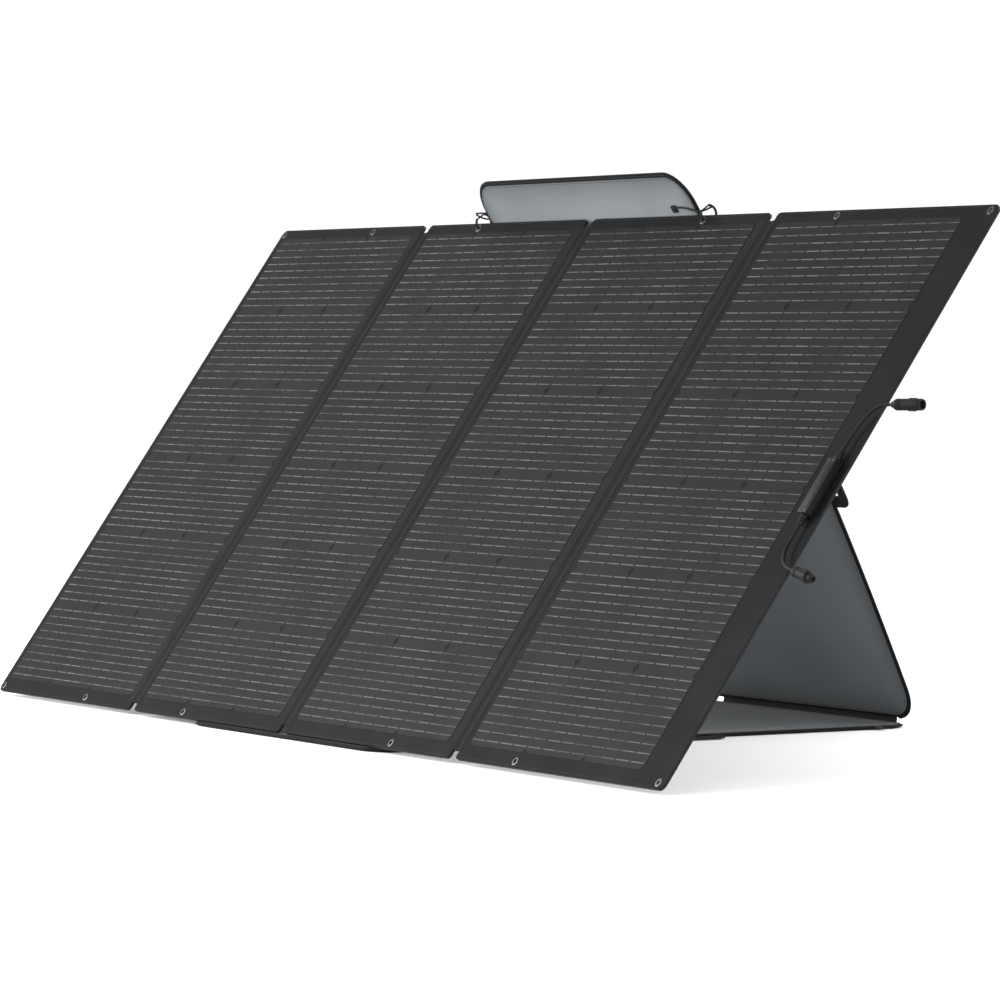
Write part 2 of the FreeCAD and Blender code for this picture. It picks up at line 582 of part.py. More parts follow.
# ---------------------------------------------------------------- zip sliders
def zip_slider(side):
    """A slider that straddles the zip's outer edge, with its flat pull."""
    body = new_body(f"slider_{side}")
    sketch = new_sketch(body, body.Label + "_section", "XZ_Plane")
    if side == "right":
        inner = "case_width - zip_width + slider_clearance"
        outer = "case_width + slider_clearance + slider_wall"
        slot_inner, slot_outer = "case_width - zip_width - slider_wall", "case_width + slider_clearance"
        pull_inner, pull_outer = outer, outer + " + pull_length"
    else:
        inner, outer = "-(slider_clearance + slider_wall)", "zip_width - slider_clearance"
        slot_inner, slot_outer = "-slider_clearance", "zip_width + slider_wall"
        pull_inner, pull_outer = inner + " - pull_length", inner
    plain_rectangle(sketch, "block", inner, "zip_base - slider_clearance - slider_wall", outer,
                    "zip_base + zip_thickness + slider_clearance + slider_wall")
    sketch.AttachmentOffset = Placement(Vector(0, 0, -measure("slider_rear")), Rotation())
    bind(sketch, "AttachmentOffset.Base.z", "-slider_rear")
    pad(body, sketch, body.Label + "_block", "slider_length")
    slot = new_sketch(body, body.Label + "_slot", "XZ_Plane")
    plain_rectangle(slot, "slot", slot_inner, "zip_base - slider_clearance", slot_outer,
                    "zip_base + zip_thickness + slider_clearance")
    pocket(body, slot, body.Label + "_channel")
    tab = new_sketch(body, body.Label + "_pull", level="case_thickness / 2 - pull_thickness / 2")
    middle = "slider_rear - slider_length / 2"
    rounded_rectangle(tab, "pull", pull_inner, f"{middle} - pull_width / 2", pull_outer,
                      f"{middle} + pull_width / 2", "pull_radius")
    body.Tip = pad(body, tab, body.Label + "_pull_pad", "pull_thickness")
    keep(body, place_base())


zip_slider("right")
zip_slider("left")


# ---------------------------------------------------------------- junction box and its glands
def on_array(u, v, w, turn=None):
    """A local frame at a point of the panel frame."""
    local = Placement(Vector(measure(u), measure(v), measure(w)), turn or Rotation())
    return place_array().multiply(local)


box_body = new_body("junction_box")
floor = new_sketch(box_body, "junction_box_floor_outline", level="cell_base")
JBOX = ("array_width - jbox_right_margin - jbox_width", "jbox_bottom",
        "array_width - jbox_right_margin", "jbox_bottom + jbox_length")
rounded_rectangle(floor, "floor", *JBOX, "jbox_corner")
pad(box_body, floor, "junction_box_floor", "jbox_wall")
walls = new_sketch(box_body, "junction_box_wall_outline", level="cell_base + jbox_wall")
rounded_rectangle(walls, "outer", *JBOX, "jbox_corner")
rounded_rectangle(walls, "inner", JBOX[0] + " + jbox_wall", JBOX[1] + " + jbox_wall",
                  JBOX[2] + " - jbox_wall", JBOX[3] + " - jbox_wall", "jbox_corner - jbox_wall")
pad(box_body, walls, "junction_box_walls", "jbox_base_height - jbox_wall")
keep(box_body, place_array())

box_cover = new_body("junction_box_cover")
cover_sketch = new_sketch(box_cover, "junction_box_cover_outline", level="cell_base + jbox_base_height")
rounded_rectangle(cover_sketch, "cover", *JBOX, "jbox_corner")
cover_pad = pad(box_cover, cover_sketch, "junction_box_cover_pad", "jbox_cover_height")
doc.recompute()
rim = box_cover.newObject("PartDesign::Chamfer", "junction_box_cover_chamfer")
top = max(face.CenterOfMass.z for face in cover_pad.Shape.Faces)
rim.Base = (cover_pad, [f"Face{number}" for number, face in enumerate(cover_pad.Shape.Faces, start=1)
                        if abs(face.CenterOfMass.z - top) < 1e-6])
bind(rim, "Size", "jbox_cover_chamfer")
keep(box_cover, place_array())


def lathe(label, stages, placement):
    """Coaxial round stages stacked along local Z: each is (diameter, length)."""
    body = new_body(label)
    level = "0"
    for number, (diameter, length) in enumerate(stages):
        sketch = new_sketch(body, f"{label}_circle_{number}", level=level)
        circle_at(sketch, "stage", "0", "0", diameter)
        pad(body, sketch, f"{label}_stage_{number}", length)
        level = f"{level} + {length}"
    keep(body, placement)


UP_FACE = Rotation(Vector(0, 0, 1), Vector(0, 1, 0))
DOWN_FACE = Rotation(Vector(0, 0, 1), Vector(0, -1, 0))
GLAND_U = "array_width - jbox_right_margin - jbox_width / 2"
GLAND_W = "cell_base + gland_axis_height"
GLAND_STAGES = [("gland_diameter", "gland_collar"), ("gland_neck", "gland_length - gland_collar")]
lathe("gland_upper", GLAND_STAGES, on_array(GLAND_U, "jbox_bottom + jbox_length", GLAND_W, UP_FACE))
lathe("gland_lower", GLAND_STAGES, on_array(GLAND_U, "jbox_bottom", GLAND_W, DOWN_FACE))


# ---------------------------------------------------------------- cords
CORDS = ["lead_upper", "lead_lower", "clip_cord_left", "clip_cord_right"]
ROUTES = {}


def tangent_path(points):
    """Straight runs joined by tangent arcs, each as large as its two runs allow."""
    edges, radii = [], []
    start = points[0]
    for before, corner, after in zip(points, points[1:], points[2:]):
        arriving, leaving = corner - before, after - corner
        half_turn = arriving.getAngle(leaving) / 2
        reach = 0.45 * min(arriving.Length, leaving.Length)
        radii.append(reach / math.tan(half_turn))
        arriving.normalize()
        leaving.normalize()
        first, last = corner - arriving * reach, corner + leaving * reach
        inward = leaving - arriving
        inward.normalize()
        centre = corner + inward * (radii[-1] / math.cos(half_turn))
        outward = corner - centre
        outward.normalize()
        edges.append(Part.LineSegment(start, first).toShape())
        edges.append(Part.Arc(first, centre + outward * radii[-1], last).toShape())
        start = last
    edges.append(Part.LineSegment(start, points[-1]).toShape())
    return Part.Wire(edges), radii


def cord(label, points, diameter):
    """A round cord along its route, as one closed solid."""
    path, radii = tangent_path(points)
    heading = points[1] - points[0]
    section = Part.Wire(Part.Circle(points[0], heading, diameter / 2).toShape())
    tube = path.makePipeShell([section], True, False)
    expected = math.pi * diameter ** 2 / 4 * path.Length
    if abs(tube.Volume / expected - 1) > 0.02:
        fail(f"{label} has volume {tube.Volume:.0f}, not {expected:.0f}")
    feature = doc.addObject("Part::Feature", label)
    feature.Label = label
    feature.Shape = tube
    NODES[label] = feature
    ROUTES[label] = points
    print(label, "length", round(path.Length, 1), "radii", [round(radius, 1) for radius in radii])


def array_points(origin, steps):
    """Route points in the panel frame, given as steps from a starting point."""
    return [place_array().multVec(origin + Vector(*step)) for step in steps]


gland_end = Vector(measure(GLAND_U), measure("jbox_bottom + jbox_length + gland_length"), measure(GLAND_W))
UPPER_STEPS = [(0, 0, 0), (0, 22, 0), (5, 46, 1), (17, 69, 1.8), (33, 83.5, 1), (52.5, 86.5, -3)]
upper = array_points(gland_end, UPPER_STEPS)
cord("lead_upper", upper, SIZE["lead_diameter"])
gland_end = Vector(measure(GLAND_U), measure("jbox_bottom - gland_length"), measure(GLAND_W))
LOWER_STEPS = [(0, 0, 0), (0, -20, 0), (1.5, -42, 1.2), (12.5, -62.5, 2), (30, -75, 2), (50, -78.5, 0.8)]
lower = array_points(gland_end, LOWER_STEPS)
cord("lead_lower", lower, SIZE["lead_diameter"])


def plug(label, points, stages):
    """A lead's plug: it carries on in line with the lead's last run."""
    lathe(label, stages, Placement(points[-1], Rotation(Vector(0, 0, 1), points[-1] - points[-2])))


plug("plug_upper", upper, [("plug_tail", "plug_tail_length"),
                           ("plug_diameter", "plug_length + plug_nose_length")])
plug("plug_lower", lower, [("plug_tail", "plug_tail_length"), ("plug_diameter", "plug_length"),
                           ("plug_nose", "plug_nose_length")])


# ---------------------------------------------------------------- spring clips in the top eyelets
def clip_frame(across):
    """Local frame of a clip: X up the array's face, Y out of it, Z across the array."""
    centre = Vector(measure(across), measure("array_height - eyelet_edge + clip_radius"),
                    measure("(cell_base + cover_base) / 2"))
    turn = Rotation(Vector(0, 1, 0), Vector(0, 0, 1), Vector(1, 0, 0), "XYZ")
    return place_array().multiply(Placement(centre, turn))


def spring_clip(side, across):
    """A round wire clip through an eyelet, and the straight gate that closes its mouth."""
    frame = clip_frame(across)
    body = new_body(f"clip_{side}")
    sketch = new_sketch(body, body.Label + "_wire", "XZ_Plane")
    circle_at(sketch, "wire", "clip_radius", "0", "clip_wire")
    ring = body.newObject("PartDesign::Revolution", body.Label + "_ring")
    ring.Profile = sketch
    ring.ReferenceAxis = (sketch, ["V_Axis"])
    bind(ring, "Angle", "360 - gate_opening_deg")
    turn = measure("gate_start_deg + gate_opening_deg")
    keep(body, frame.multiply(Placement(Vector(), Rotation(Vector(0, 0, 1), turn))))
    gate = doc.addObject("Part::Cylinder", f"clip_{side}_gate")
    gate.Label = f"clip_{side}_gate"
    bind(gate, "Radius", "gate_wire / 2")
    bind(gate, "Height", "gate_length")
    pivot_angle = math.radians(turn)
    other_angle = math.radians(SIZE["gate_start_deg"])
    ends = [Vector(math.cos(a), math.sin(a), 0) * SIZE["clip_radius"] for a in (pivot_angle, other_angle)]
    along = ends[1] - ends[0]
    spare = (along.Length - measure("gate_length")) / 2
    along.normalize()
    local = Placement(ends[0] + along * spare, Rotation(Vector(0, 0, 1), along))
    keep(gate, frame.multiply(local))
    GATES[side] = (frame.multVec(ends[0] + along * spare), frame.Rotation.multVec(Vector(0, 0, 1)))
    return frame


GATES = {}
CLIP_LEFT = spring_clip("left", EYELET_COLUMNS[2][0])
CLIP_RIGHT = spring_clip("right", EYELET_COLUMNS[3][0])


def ring_side(frame, angle_deg, across):
    """Point beside the clip's wire at an angle round it, on the side that faces across."""
    angle = math.radians(angle_deg)
    beside = SIZE["clip_wire"] / 2 + SIZE["cord_clearance"]
    return frame.multVec(Vector(math.cos(angle) * SIZE["clip_radius"], math.sin(angle) * SIZE["clip_radius"],
                                across * beside))


def lid_point(across, along, above):
    """Point at a distance across and along the lid and above its bowed inner face."""
    return place_lid().multVec(Vector(across, along, -SIZE["spine_rise"] - bow_at(along) + above))


# Left cord: out from the lid's edge, round a half turn and back against the clip.
anchor = lid_point(0, SIZE["clip_cord_along"], -SIZE["case_thickness"] / 2)
end = ring_side(CLIP_LEFT, SIZE["clip_cord_angle_deg"], -1)
down = Vector(0, end.y - anchor.y, end.z - anchor.z)
OUTWARD = [(17, 0), (30, -0.02), (40, 0.01), (47.3, 0.3), (47.8, 0.72), (40.5, 1.0)]
left_points = [anchor] + [anchor + Vector(-out, 0, 0) + down * share for out, share in OUTWARD] + [end]
cord("clip_cord_left", left_points, SIZE["loop_cord"])

# Right cord: from a stitched patch on the lining, past the lid's edge to its clip.
patch = new_body("clip_patch")
patch_sketch = new_sketch(patch, "clip_patch_outline", "YZ_Plane", level="patch_inset")
patch_base = measure("patch_along")
PATCH_FLOOR = f"-(spine_rise + {bow_at(patch_base):.6f})"
plain_rectangle(patch_sketch, "patch", "patch_along - patch_size / 2", PATCH_FLOOR + " + patch_sink",
                "patch_along + patch_size / 2", PATCH_FLOOR + " + patch_height")
pad(patch, patch_sketch, "clip_patch_pad", "patch_size")
keep(patch, place_lid())
end = ring_side(CLIP_RIGHT, 0, -1)
patch_end = measure("patch_inset + patch_size")
CORD_STEPS = [(0, 0, 0), (17, 0, 0), (35, -2, 0.8), (52, -5.5, 1.2), (66, -9, -0.5), (74.5, -10.5, -6.5)]
right_points = [lid_point(patch_end + x, patch_base + y, measure("patch_height / 2") + z)
                for x, y, z in CORD_STEPS] + [end]
cord("clip_cord_right", right_points, SIZE["loop_cord"])


# ---------------------------------------------------------------- checks and export
def centre_on_ground():
    """Move everything so that the box of the object, without its cords, stands on the origin."""
    box = FreeCAD.BoundBox()
    for label, item in NODES.items():
        if label not in CORDS and not label.startswith("plug_"):
            box.add(item.Shape.BoundBox)
    shift = Vector(-box.Center.x, -box.Center.y, -box.ZMin)
    for item in NODES.values():
        item.Placement = Placement(shift, Rotation()).multiply(item.Placement)
    return shift


doc.recompute()
doc.removeObject("Measure")
shift = centre_on_ground()
for item in doc.Objects:
    if "Invalid" in item.State or "Error" in item.State:
        fail(f"{item.Label} is {item.State}")
os.makedirs("parts", exist_ok=True)
for label, item in NODES.items():
    if item.Shape.isNull() or not item.Shape.isValid():
        fail(f"{label} has no valid shape")
    item.Shape.exportStep(f"parts/{label}.step")
print("nodes", len(NODES), "lid angle", round(math.degrees(LID_ANGLE), 3))
for name, point in (("shift", shift), ("lid pivot", PIVOT + shift),
                    ("array pivot", place_array().multVec(Vector(0, 0, SIZE["cover_base"])) + shift),
                    ("array origin", place_array().Base + shift)):
    print(name, [round(value, 4) for value in point])
for side, (point, axis) in GATES.items():
    print("gate", side, [round(value, 4) for value in point + shift], [round(value, 4) for value in axis])
for label, points in ROUTES.items():
    print("route", label, [tuple(round(value, 1) for value in point + shift) for point in points])
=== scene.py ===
"""Visual model of a four-panel folding solar array that leans on its own open zip case.

Lengths are millimetres in the dataclasses and metres in the meshes. Each sub-assembly is a class
that builds its own pieces; each finish is a frozen dataclass that builds its own node material.
"""
from __future__ import annotations

import json
import logging
import math
from dataclasses import dataclass, replace
from enum import Enum
from typing import Callable, Iterable, Iterator, Sequence

import bmesh
import bpy
from bmesh.types import BMEdge, BMesh, BMVert
from bpy.types import ID, Material, Node, NodeSocket, NodeTree, Object
from mathutils import Matrix, Vector, noise

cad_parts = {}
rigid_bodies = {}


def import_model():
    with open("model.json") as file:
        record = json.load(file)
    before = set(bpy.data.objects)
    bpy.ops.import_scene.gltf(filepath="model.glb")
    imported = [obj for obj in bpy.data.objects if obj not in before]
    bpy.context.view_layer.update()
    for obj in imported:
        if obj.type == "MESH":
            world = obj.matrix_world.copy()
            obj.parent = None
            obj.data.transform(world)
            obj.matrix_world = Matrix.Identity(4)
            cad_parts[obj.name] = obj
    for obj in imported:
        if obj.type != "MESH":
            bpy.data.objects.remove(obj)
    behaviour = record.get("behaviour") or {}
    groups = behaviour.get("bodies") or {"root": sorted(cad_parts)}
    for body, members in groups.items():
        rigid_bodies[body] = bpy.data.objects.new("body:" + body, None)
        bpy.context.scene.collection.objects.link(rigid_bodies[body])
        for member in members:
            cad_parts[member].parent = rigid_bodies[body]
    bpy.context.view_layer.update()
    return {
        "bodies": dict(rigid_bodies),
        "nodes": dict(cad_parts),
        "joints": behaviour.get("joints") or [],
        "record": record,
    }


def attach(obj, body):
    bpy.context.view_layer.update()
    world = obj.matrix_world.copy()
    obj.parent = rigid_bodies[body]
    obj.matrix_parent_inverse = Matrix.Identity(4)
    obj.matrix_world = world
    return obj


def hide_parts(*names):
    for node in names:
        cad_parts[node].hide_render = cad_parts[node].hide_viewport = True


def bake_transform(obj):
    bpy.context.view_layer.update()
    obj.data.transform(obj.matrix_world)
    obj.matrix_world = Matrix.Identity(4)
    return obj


LOG = logging.getLogger("folding_array")
MM = 0.001
UP = Vector((0, 0, 1))
Point = tuple[float, float, float]
Mapping = Callable[[float, float, float], Vector]


# ------------------------------------------------------------------ finishes
class Pattern(Enum):
    """Surface structure that a finish carries in its bump."""

    PLAIN = "plain"
    WEAVE = "weave"
    GRAIN = "grain"
    DIMPLES = "dimples"
    RIBBON = "ribbon"
    FINGERS = "fingers"


# Octaves of the two patterns that are plain noise.
NOISE_DETAIL = {Pattern.GRAIN: 2.0, Pattern.RIBBON: 1.0}


def linear(code: str) -> tuple[float, float, float, float]:
    """Turn an sRGB hex colour to linear light.

    Args:
        code: six hex digits, with or without a leading hash.

    Returns:
        Linear red, green and blue, and full alpha.
    """
    digits = code.lstrip("#")
    channels = [int(digits[i:i + 2], 16) / 255 for i in (0, 2, 4)]
    return (*[c / 12.92 if c <= 0.04045 else ((c + 0.055) / 1.055) ** 2.4 for c in channels], 1.0)


def add_node(tree: NodeTree, kind: str, settings: dict | None = None,
             links: dict | None = None) -> Node:
    """Add a shader node, set it up and link it.

    Args:
        tree: the material's node tree.
        kind: node class name, without the ShaderNode prefix.
        settings: property or input name to value.
        links: input name or index to the output socket that feeds it.

    Returns:
        The new node.
    """
    node = tree.nodes.new("ShaderNode" + kind)
    for key, value in (settings or {}).items():
        if isinstance(key, str) and hasattr(node, key):
            setattr(node, key, value)
        else:
            node.inputs[key].default_value = value
    for key, socket in (links or {}).items():
        tree.links.new(socket, node.inputs[key])
    return node


@dataclass(frozen=True)
class Finish:
    """One surface finish, built as a procedural node material.

    Colours are sRGB hex. Scales are real sizes in millimetres, and bump_mm is the relief's height.
    turn_deg turns the pattern about X, so that it lies along a tilted sheet.
    """

    name: str
    slot: str
    colour: str
    second: str
    roughness: float
    metallic: float = 0.0
    specular: float = 0.5
    sheen: float = 0.0
    pattern: Pattern = Pattern.GRAIN
    pitch_mm: float = 2.0
    bump_mm: float = 0.1
    mottle_mm: float = 60.0
    turn_deg: float = 0.0
    # The edge colour is painted shade: it is mixed in where the mesh's edge value is high, by the share that
    # follows.
    edge: str = ""
    painted_shade_share: float = 0.0

    def material(self) -> Material:
        """Build the material once and return it afterwards."""
        made = bpy.data.materials.get(self.name)
        if made:
            return made
        made = bpy.data.materials.new(self.name)
        made.use_nodes = True
        tree = made.node_tree
        shader = tree.nodes["Principled BSDF"]
        shader.inputs["Metallic"].default_value = self.metallic
        shader.inputs["Specular IOR Level"].default_value = self.specular
        shader.inputs["Sheen Weight"].default_value = self.sheen
        place = add_node(tree, "TexCoord")
        turned = add_node(tree, "Mapping", {"Rotation": (math.radians(-self.turn_deg), 0, 0)},
                          {"Vector": place.outputs["Object"]})
        spot = turned.outputs["Vector"]
        mottle = add_node(tree, "TexNoise", {"Scale": 1 / (self.mottle_mm * MM), "Detail": 3.0},
                          {"Vector": spot})
        spread = add_node(tree, "MapRange", {"From Min": 0.35, "From Max": 0.65},
                          {"Value": mottle.outputs["Fac"]})
        blend = add_node(tree, "Mix", {"data_type": "RGBA", 6: linear(self.colour),
                                       7: linear(self.second)}, {0: spread.outputs["Result"]})
        colour = blend.outputs[2]
        height = self.height(tree, spot)
        if height is not None:
            dark = add_node(tree, "MapRange", {"To Min": 0.82, "To Max": 1.06}, {"Value": height})
            shade = add_node(tree, "VectorMath", {"operation": "SCALE"},
                             {0: colour, 3: dark.outputs["Result"]})
            colour = shade.outputs["Vector"]
            bump = add_node(tree, "Bump", {"Strength": 1.0, "Distance": self.bump_mm * MM},
                            {"Height": height})
            tree.links.new(bump.outputs["Normal"], shader.inputs["Normal"])
        # Painted shade: mix the edge colour in by the mesh's edge value.
        if self.edge:
            near = add_node(tree, "Attribute", {"attribute_name": "edge"})
            share = add_node(tree, "Math", {"operation": "MULTIPLY", 1: self.painted_shade_share},
                             {0: near.outputs["Fac"]})
            painted_shade = add_node(tree, "Mix", {"data_type": "RGBA", 7: linear(self.edge)},
                            {0: share.outputs["Value"], 6: colour})
            colour = painted_shade.outputs[2]
        tree.links.new(colour, shader.inputs["Base Color"])
        rough = add_node(tree, "MapRange", {"To Min": self.roughness - 0.05,
                                            "To Max": self.roughness + 0.06},
                         {"Value": mottle.outputs["Fac"]})
        tree.links.new(rough.outputs["Result"], shader.inputs["Roughness"])
        return made

    def height(self, tree: NodeTree, spot: NodeSocket) -> NodeSocket | None:
        """Add the nodes of the finish's relief.

        Args:
            tree: the material's node tree.
            spot: turned object coordinates.

        Returns:
            A socket from 0 to 1, or None where the finish is smooth.
        """
        period = self.pitch_mm * MM
        bands = math.pi / 10 / period
        feed = {"Vector": spot}
        if self.pattern is Pattern.WEAVE:
            threads = [add_node(tree, "TexWave", {"bands_direction": way, "Scale": bands,
                                                  "Distortion": 0.6, "Detail": 1.0}, feed)
                       for way in ("X", "Y")]
            crossed = add_node(tree, "Math", {"operation": "MULTIPLY"},
                               {0: threads[0].outputs["Fac"], 1: threads[1].outputs["Fac"]})
            return crossed.outputs["Value"]
        if self.pattern is Pattern.FINGERS:
            return add_node(tree, "TexWave", {"bands_direction": "X", "Scale": bands}, feed).outputs["Fac"]
        if self.pattern is Pattern.DIMPLES:
            return add_node(tree, "TexVoronoi", {"Scale": 1 / period}, feed).outputs["Distance"]
        if self.pattern in NOISE_DETAIL:
            settings = {"Scale": 1 / period, "Detail": NOISE_DETAIL[self.pattern]}
            return add_node(tree, "TexNoise", settings, feed).outputs["Fac"]
        return None


# Slopes of the array's face and of the lid, in degrees.
TILT = 55.0
LEAN = 117.444

# Matt fluoropolymer film over the panel's borders: near black with fine pressed dimples.
FILM = Finish("matt fluoropolymer film", "film", "#141517", "#111214", 0.55, specular=0.04,
              pattern=Pattern.DIMPLES, pitch_mm=3.0, bump_mm=0.12, mottle_mm=90, turn_deg=TILT)
# Silicon cells under the same film: a slightly lighter satin grey, with faint finger lines.
CELLS = Finish("laminated silicon cell", "cells", "#1c1d1f", "#191a1c", 0.45, specular=0.04,
               pattern=Pattern.FINGERS, pitch_mm=2.6, bump_mm=0.02, mottle_mm=120, turn_deg=TILT)
# Tinned copper ribbon seen through the film: dull silver that comes and goes along its length.
RIBBON = Finish("tinned copper ribbon under film", "ribbons", "#58595b", "#2f3032", 0.5, specular=0.1,
                pattern=Pattern.RIBBON, pitch_mm=40.0, bump_mm=0.02, mottle_mm=70, turn_deg=TILT)
# Glass-fibre stiffener, seen only at the panel's cut edge.
BOARD = Finish("glass-fibre stiffener", "board", "#0d0e0f", "#0a0b0c", 0.6, specular=0.2,
               pitch_mm=1.5, bump_mm=0.05)
# Coated polyester weave on the panels' backs, threads drawn coarse enough to show.
COVER = Finish("coated polyester back cloth", "cover_fabric", "#1f2022", "#191a1c", 0.8, specular=0.2,
               sheen=0.05, pattern=Pattern.WEAVE, pitch_mm=2.4, bump_mm=0.25, mottle_mm=180, turn_deg=TILT)
# Laminated cloth hinge: smoother and a little lighter than the film's border.
HINGE = Finish("laminated hinge cloth", "hinge_fabric", "#17181a", "#141517", 0.62, specular=0.06,
               pattern=Pattern.WEAVE, pitch_mm=1.8, bump_mm=0.1, mottle_mm=80, turn_deg=TILT)
# Bonded polyester thread of the seams.
THREAD = Finish("bonded polyester thread", "hinge_fabric", "#0b0c0d", "#131415", 0.7,
                pitch_mm=0.8, bump_mm=0.1)
# Case outer: heavy oxford weave with a dull coating.
OXFORD = Finish("heavy oxford case cloth", "case_fabric", "#212225", "#1b1c1e", 0.82, specular=0.2,
                sheen=0.05, pattern=Pattern.WEAVE, pitch_mm=2.8, bump_mm=0.3, mottle_mm=160)
OXFORD_LID = replace(OXFORD, name="heavy oxford lid cloth", turn_deg=LEAN)
# Brushed polyester lining: soft mid grey, with painted shade that darkens it towards the border, where it
# turns down.
LINING = Finish("brushed polyester lining", "lining", "#787d80", "#6f7477", 0.85, specular=0.2, sheen=0.05,
                pattern=Pattern.WEAVE, pitch_mm=1.6, bump_mm=0.06, mottle_mm=220, edge="#4a4d50",
                painted_shade_share=0.75)
LINING_LID = replace(LINING, name="brushed polyester lid lining", turn_deg=LEAN)
# Folded grosgrain edge binding, near black.
BINDING = Finish("folded grosgrain binding", "binding", "#060607", "#0a0a0b", 0.75, specular=0.15,
                 pattern=Pattern.WEAVE, pitch_mm=1.6, bump_mm=0.15, mottle_mm=60)
# Moulded nylon coil of the zip.
ZIP = Finish("moulded nylon zip coil", "zip", "#050506", "#0a0a0b", 0.45, specular=0.2,
             pitch_mm=1.2, bump_mm=0.04)
# Woven polypropylene webbing with ribs across its length.
WEBBING = Finish("woven polypropylene webbing", "webbing", "#0b0c0d", "#121315", 0.72, specular=0.2,
                 pattern=Pattern.WEAVE, pitch_mm=2.2, bump_mm=0.35, mottle_mm=40)
# Die-cast zinc zip slider, painted black and rubbed on its edges.
SLIDER = Finish("painted zinc slider", "slider", "#0e0f10", "#1a1b1d", 0.38, specular=0.5, pitch_mm=2.0,
                bump_mm=0.03, mottle_mm=12)
# Moulded black polyamide: junction box body and glands.
MOULDED = Finish("moulded black polyamide", "box_black", "#060607", "#08090a", 0.55, specular=0.12,
                 pitch_mm=0.9, bump_mm=0.04, mottle_mm=30)
GLAND = Finish("moulded black polyamide gland", "gland", "#08090a", "#0b0c0d", 0.52, specular=0.14,
               pitch_mm=0.9, bump_mm=0.04, mottle_mm=25)
# Junction box cover: near-black moulded plastic with a satin face.
COVER_BLACK = Finish("satin black moulded cover", "box_cover", "#121314", "#0f1011", 0.5, specular=0.14,
                     pitch_mm=1.0, bump_mm=0.03, mottle_mm=40)
# Stainless screw heads.
STEEL = Finish("stainless steel screw", "eyelets", "#4a4b4d", "#3c3d3f", 0.32, metallic=1.0, pitch_mm=0.6,
               bump_mm=0.01, mottle_mm=5)
# Stamped brass eyelet, nickel plated and dulled by weather.
EYELET = Finish("dull nickel eyelet", "eyelets", "#55575a", "#434547", 0.38, metallic=1.0, pitch_mm=1.5,
                bump_mm=0.02, mottle_mm=8)
# Cross-linked cable sheath: dark rubbery plastic with a soft shine.
LEAD = Finish("cross-linked cable sheath", "lead", "#08090a", "#0b0c0d", 0.5, specular=0.15, pitch_mm=1.4,
              bump_mm=0.02, mottle_mm=20)
# Glass-filled nylon plug body.
PLUG = Finish("glass-filled nylon plug", "plug", "#0b0c0d", "#08090a", 0.55, specular=0.15,
              pitch_mm=0.8, bump_mm=0.05, mottle_mm=18)
# Spring-steel wire of the clips, black coated.
WIRE = Finish("black coated spring wire", "clip", "#070808", "#0a0b0c", 0.5, specular=0.15, pitch_mm=1.8,
              bump_mm=0.02, mottle_mm=10)
GATE = Finish("black coated gate wire", "gate", "#090a0b", "#0d0e0f", 0.5, specular=0.15, pitch_mm=1.8,
              bump_mm=0.02, mottle_mm=10)
# Braided elastic cord.
ELASTIC = Finish("braided elastic cord", "clip_cord", "#060707", "#0c0d0e", 0.7, specular=0.2,
                 pattern=Pattern.WEAVE, pitch_mm=1.1, bump_mm=0.12, mottle_mm=20)
# Pale studio floor.
FLOOR = Finish("pale studio floor", "floor", "#ffffff", "#fefefe", 0.95, specular=0.1, pattern=Pattern.PLAIN)


# ------------------------------------------------------------------ places
@dataclass(frozen=True)
class ArrayPlane:
    """The array's front plane: u across from the left edge, v up the face, w out of the face."""

    width: float = 2365.0
    height: float = 1058.0
    base_y: float = -528.2229
    base_z: float = 9.9415

    def __call__(self, u: float, v: float, w: float) -> Vector:
        """Return the row-frame point, in metres."""
        tilt = math.radians(TILT)
        return Vector((u - self.width / 2, self.base_y + v * math.cos(tilt) - w * math.sin(tilt),
                       self.base_z + v * math.sin(tilt) + w * math.cos(tilt))) * MM

    def stand(self, u: float, v: float, w: float) -> Matrix:
        """Return a frame in millimetres that stands on the face, Z outwards."""
        return (Matrix.Translation(self(u, v, w)) @ Matrix.Rotation(math.radians(TILT), 4, "X")
                @ Matrix.Scale(MM, 4))


@dataclass(frozen=True)
class LidPlane:
    """The lid's bowed inner face: x from its left edge, s from the pivot, h out of the face."""

    left: float = -388.0
    pivot_y: float = 525.7771
    pivot_z: float = 7.2
    length: float = 1056.0
    start: float = 3.0
    rise: float = 1.0
    bow: float = 20.0

    def depth(self, s: float) -> float:
        """Depth of the inner face below its chord."""
        if not self.bow:
            return 0.0
        radius = (self.length ** 2 / 4 + self.bow ** 2) / (2 * self.bow)
        from_middle = s - self.start - self.length / 2
        return math.sqrt(radius ** 2 - from_middle ** 2) - (radius - self.bow)

    def __call__(self, x: float, s: float, h: float) -> Vector:
        """Return the row-frame point, in metres."""
        angle = math.radians(LEAN)
        b = h - self.rise - self.depth(s)
        return Vector((self.left + x, self.pivot_y + s * math.cos(angle) - b * math.sin(angle),
                       self.pivot_z + s * math.sin(angle) + b * math.cos(angle))) * MM


@dataclass(frozen=True)
class BasePlane:
    """The base half on the ground: x from its left edge, y from its front edge, z up."""

    left: float = -388.0
    front: float = -533.2229

    def __call__(self, x: float, y: float, z: float) -> Vector:
        """Return the row-frame point, in metres."""
        return Vector((self.left + x, self.front + y, z)) * MM


ARRAY = ArrayPlane()
LID = LidPlane()
BASE = BasePlane()


# ------------------------------------------------------------------ mesh helpers
def add_object(name: str, data: ID | None) -> Object:
    """Add an object to the scene."""
    made = bpy.data.objects.new(name, data)
    bpy.context.scene.collection.objects.link(made)
    return made


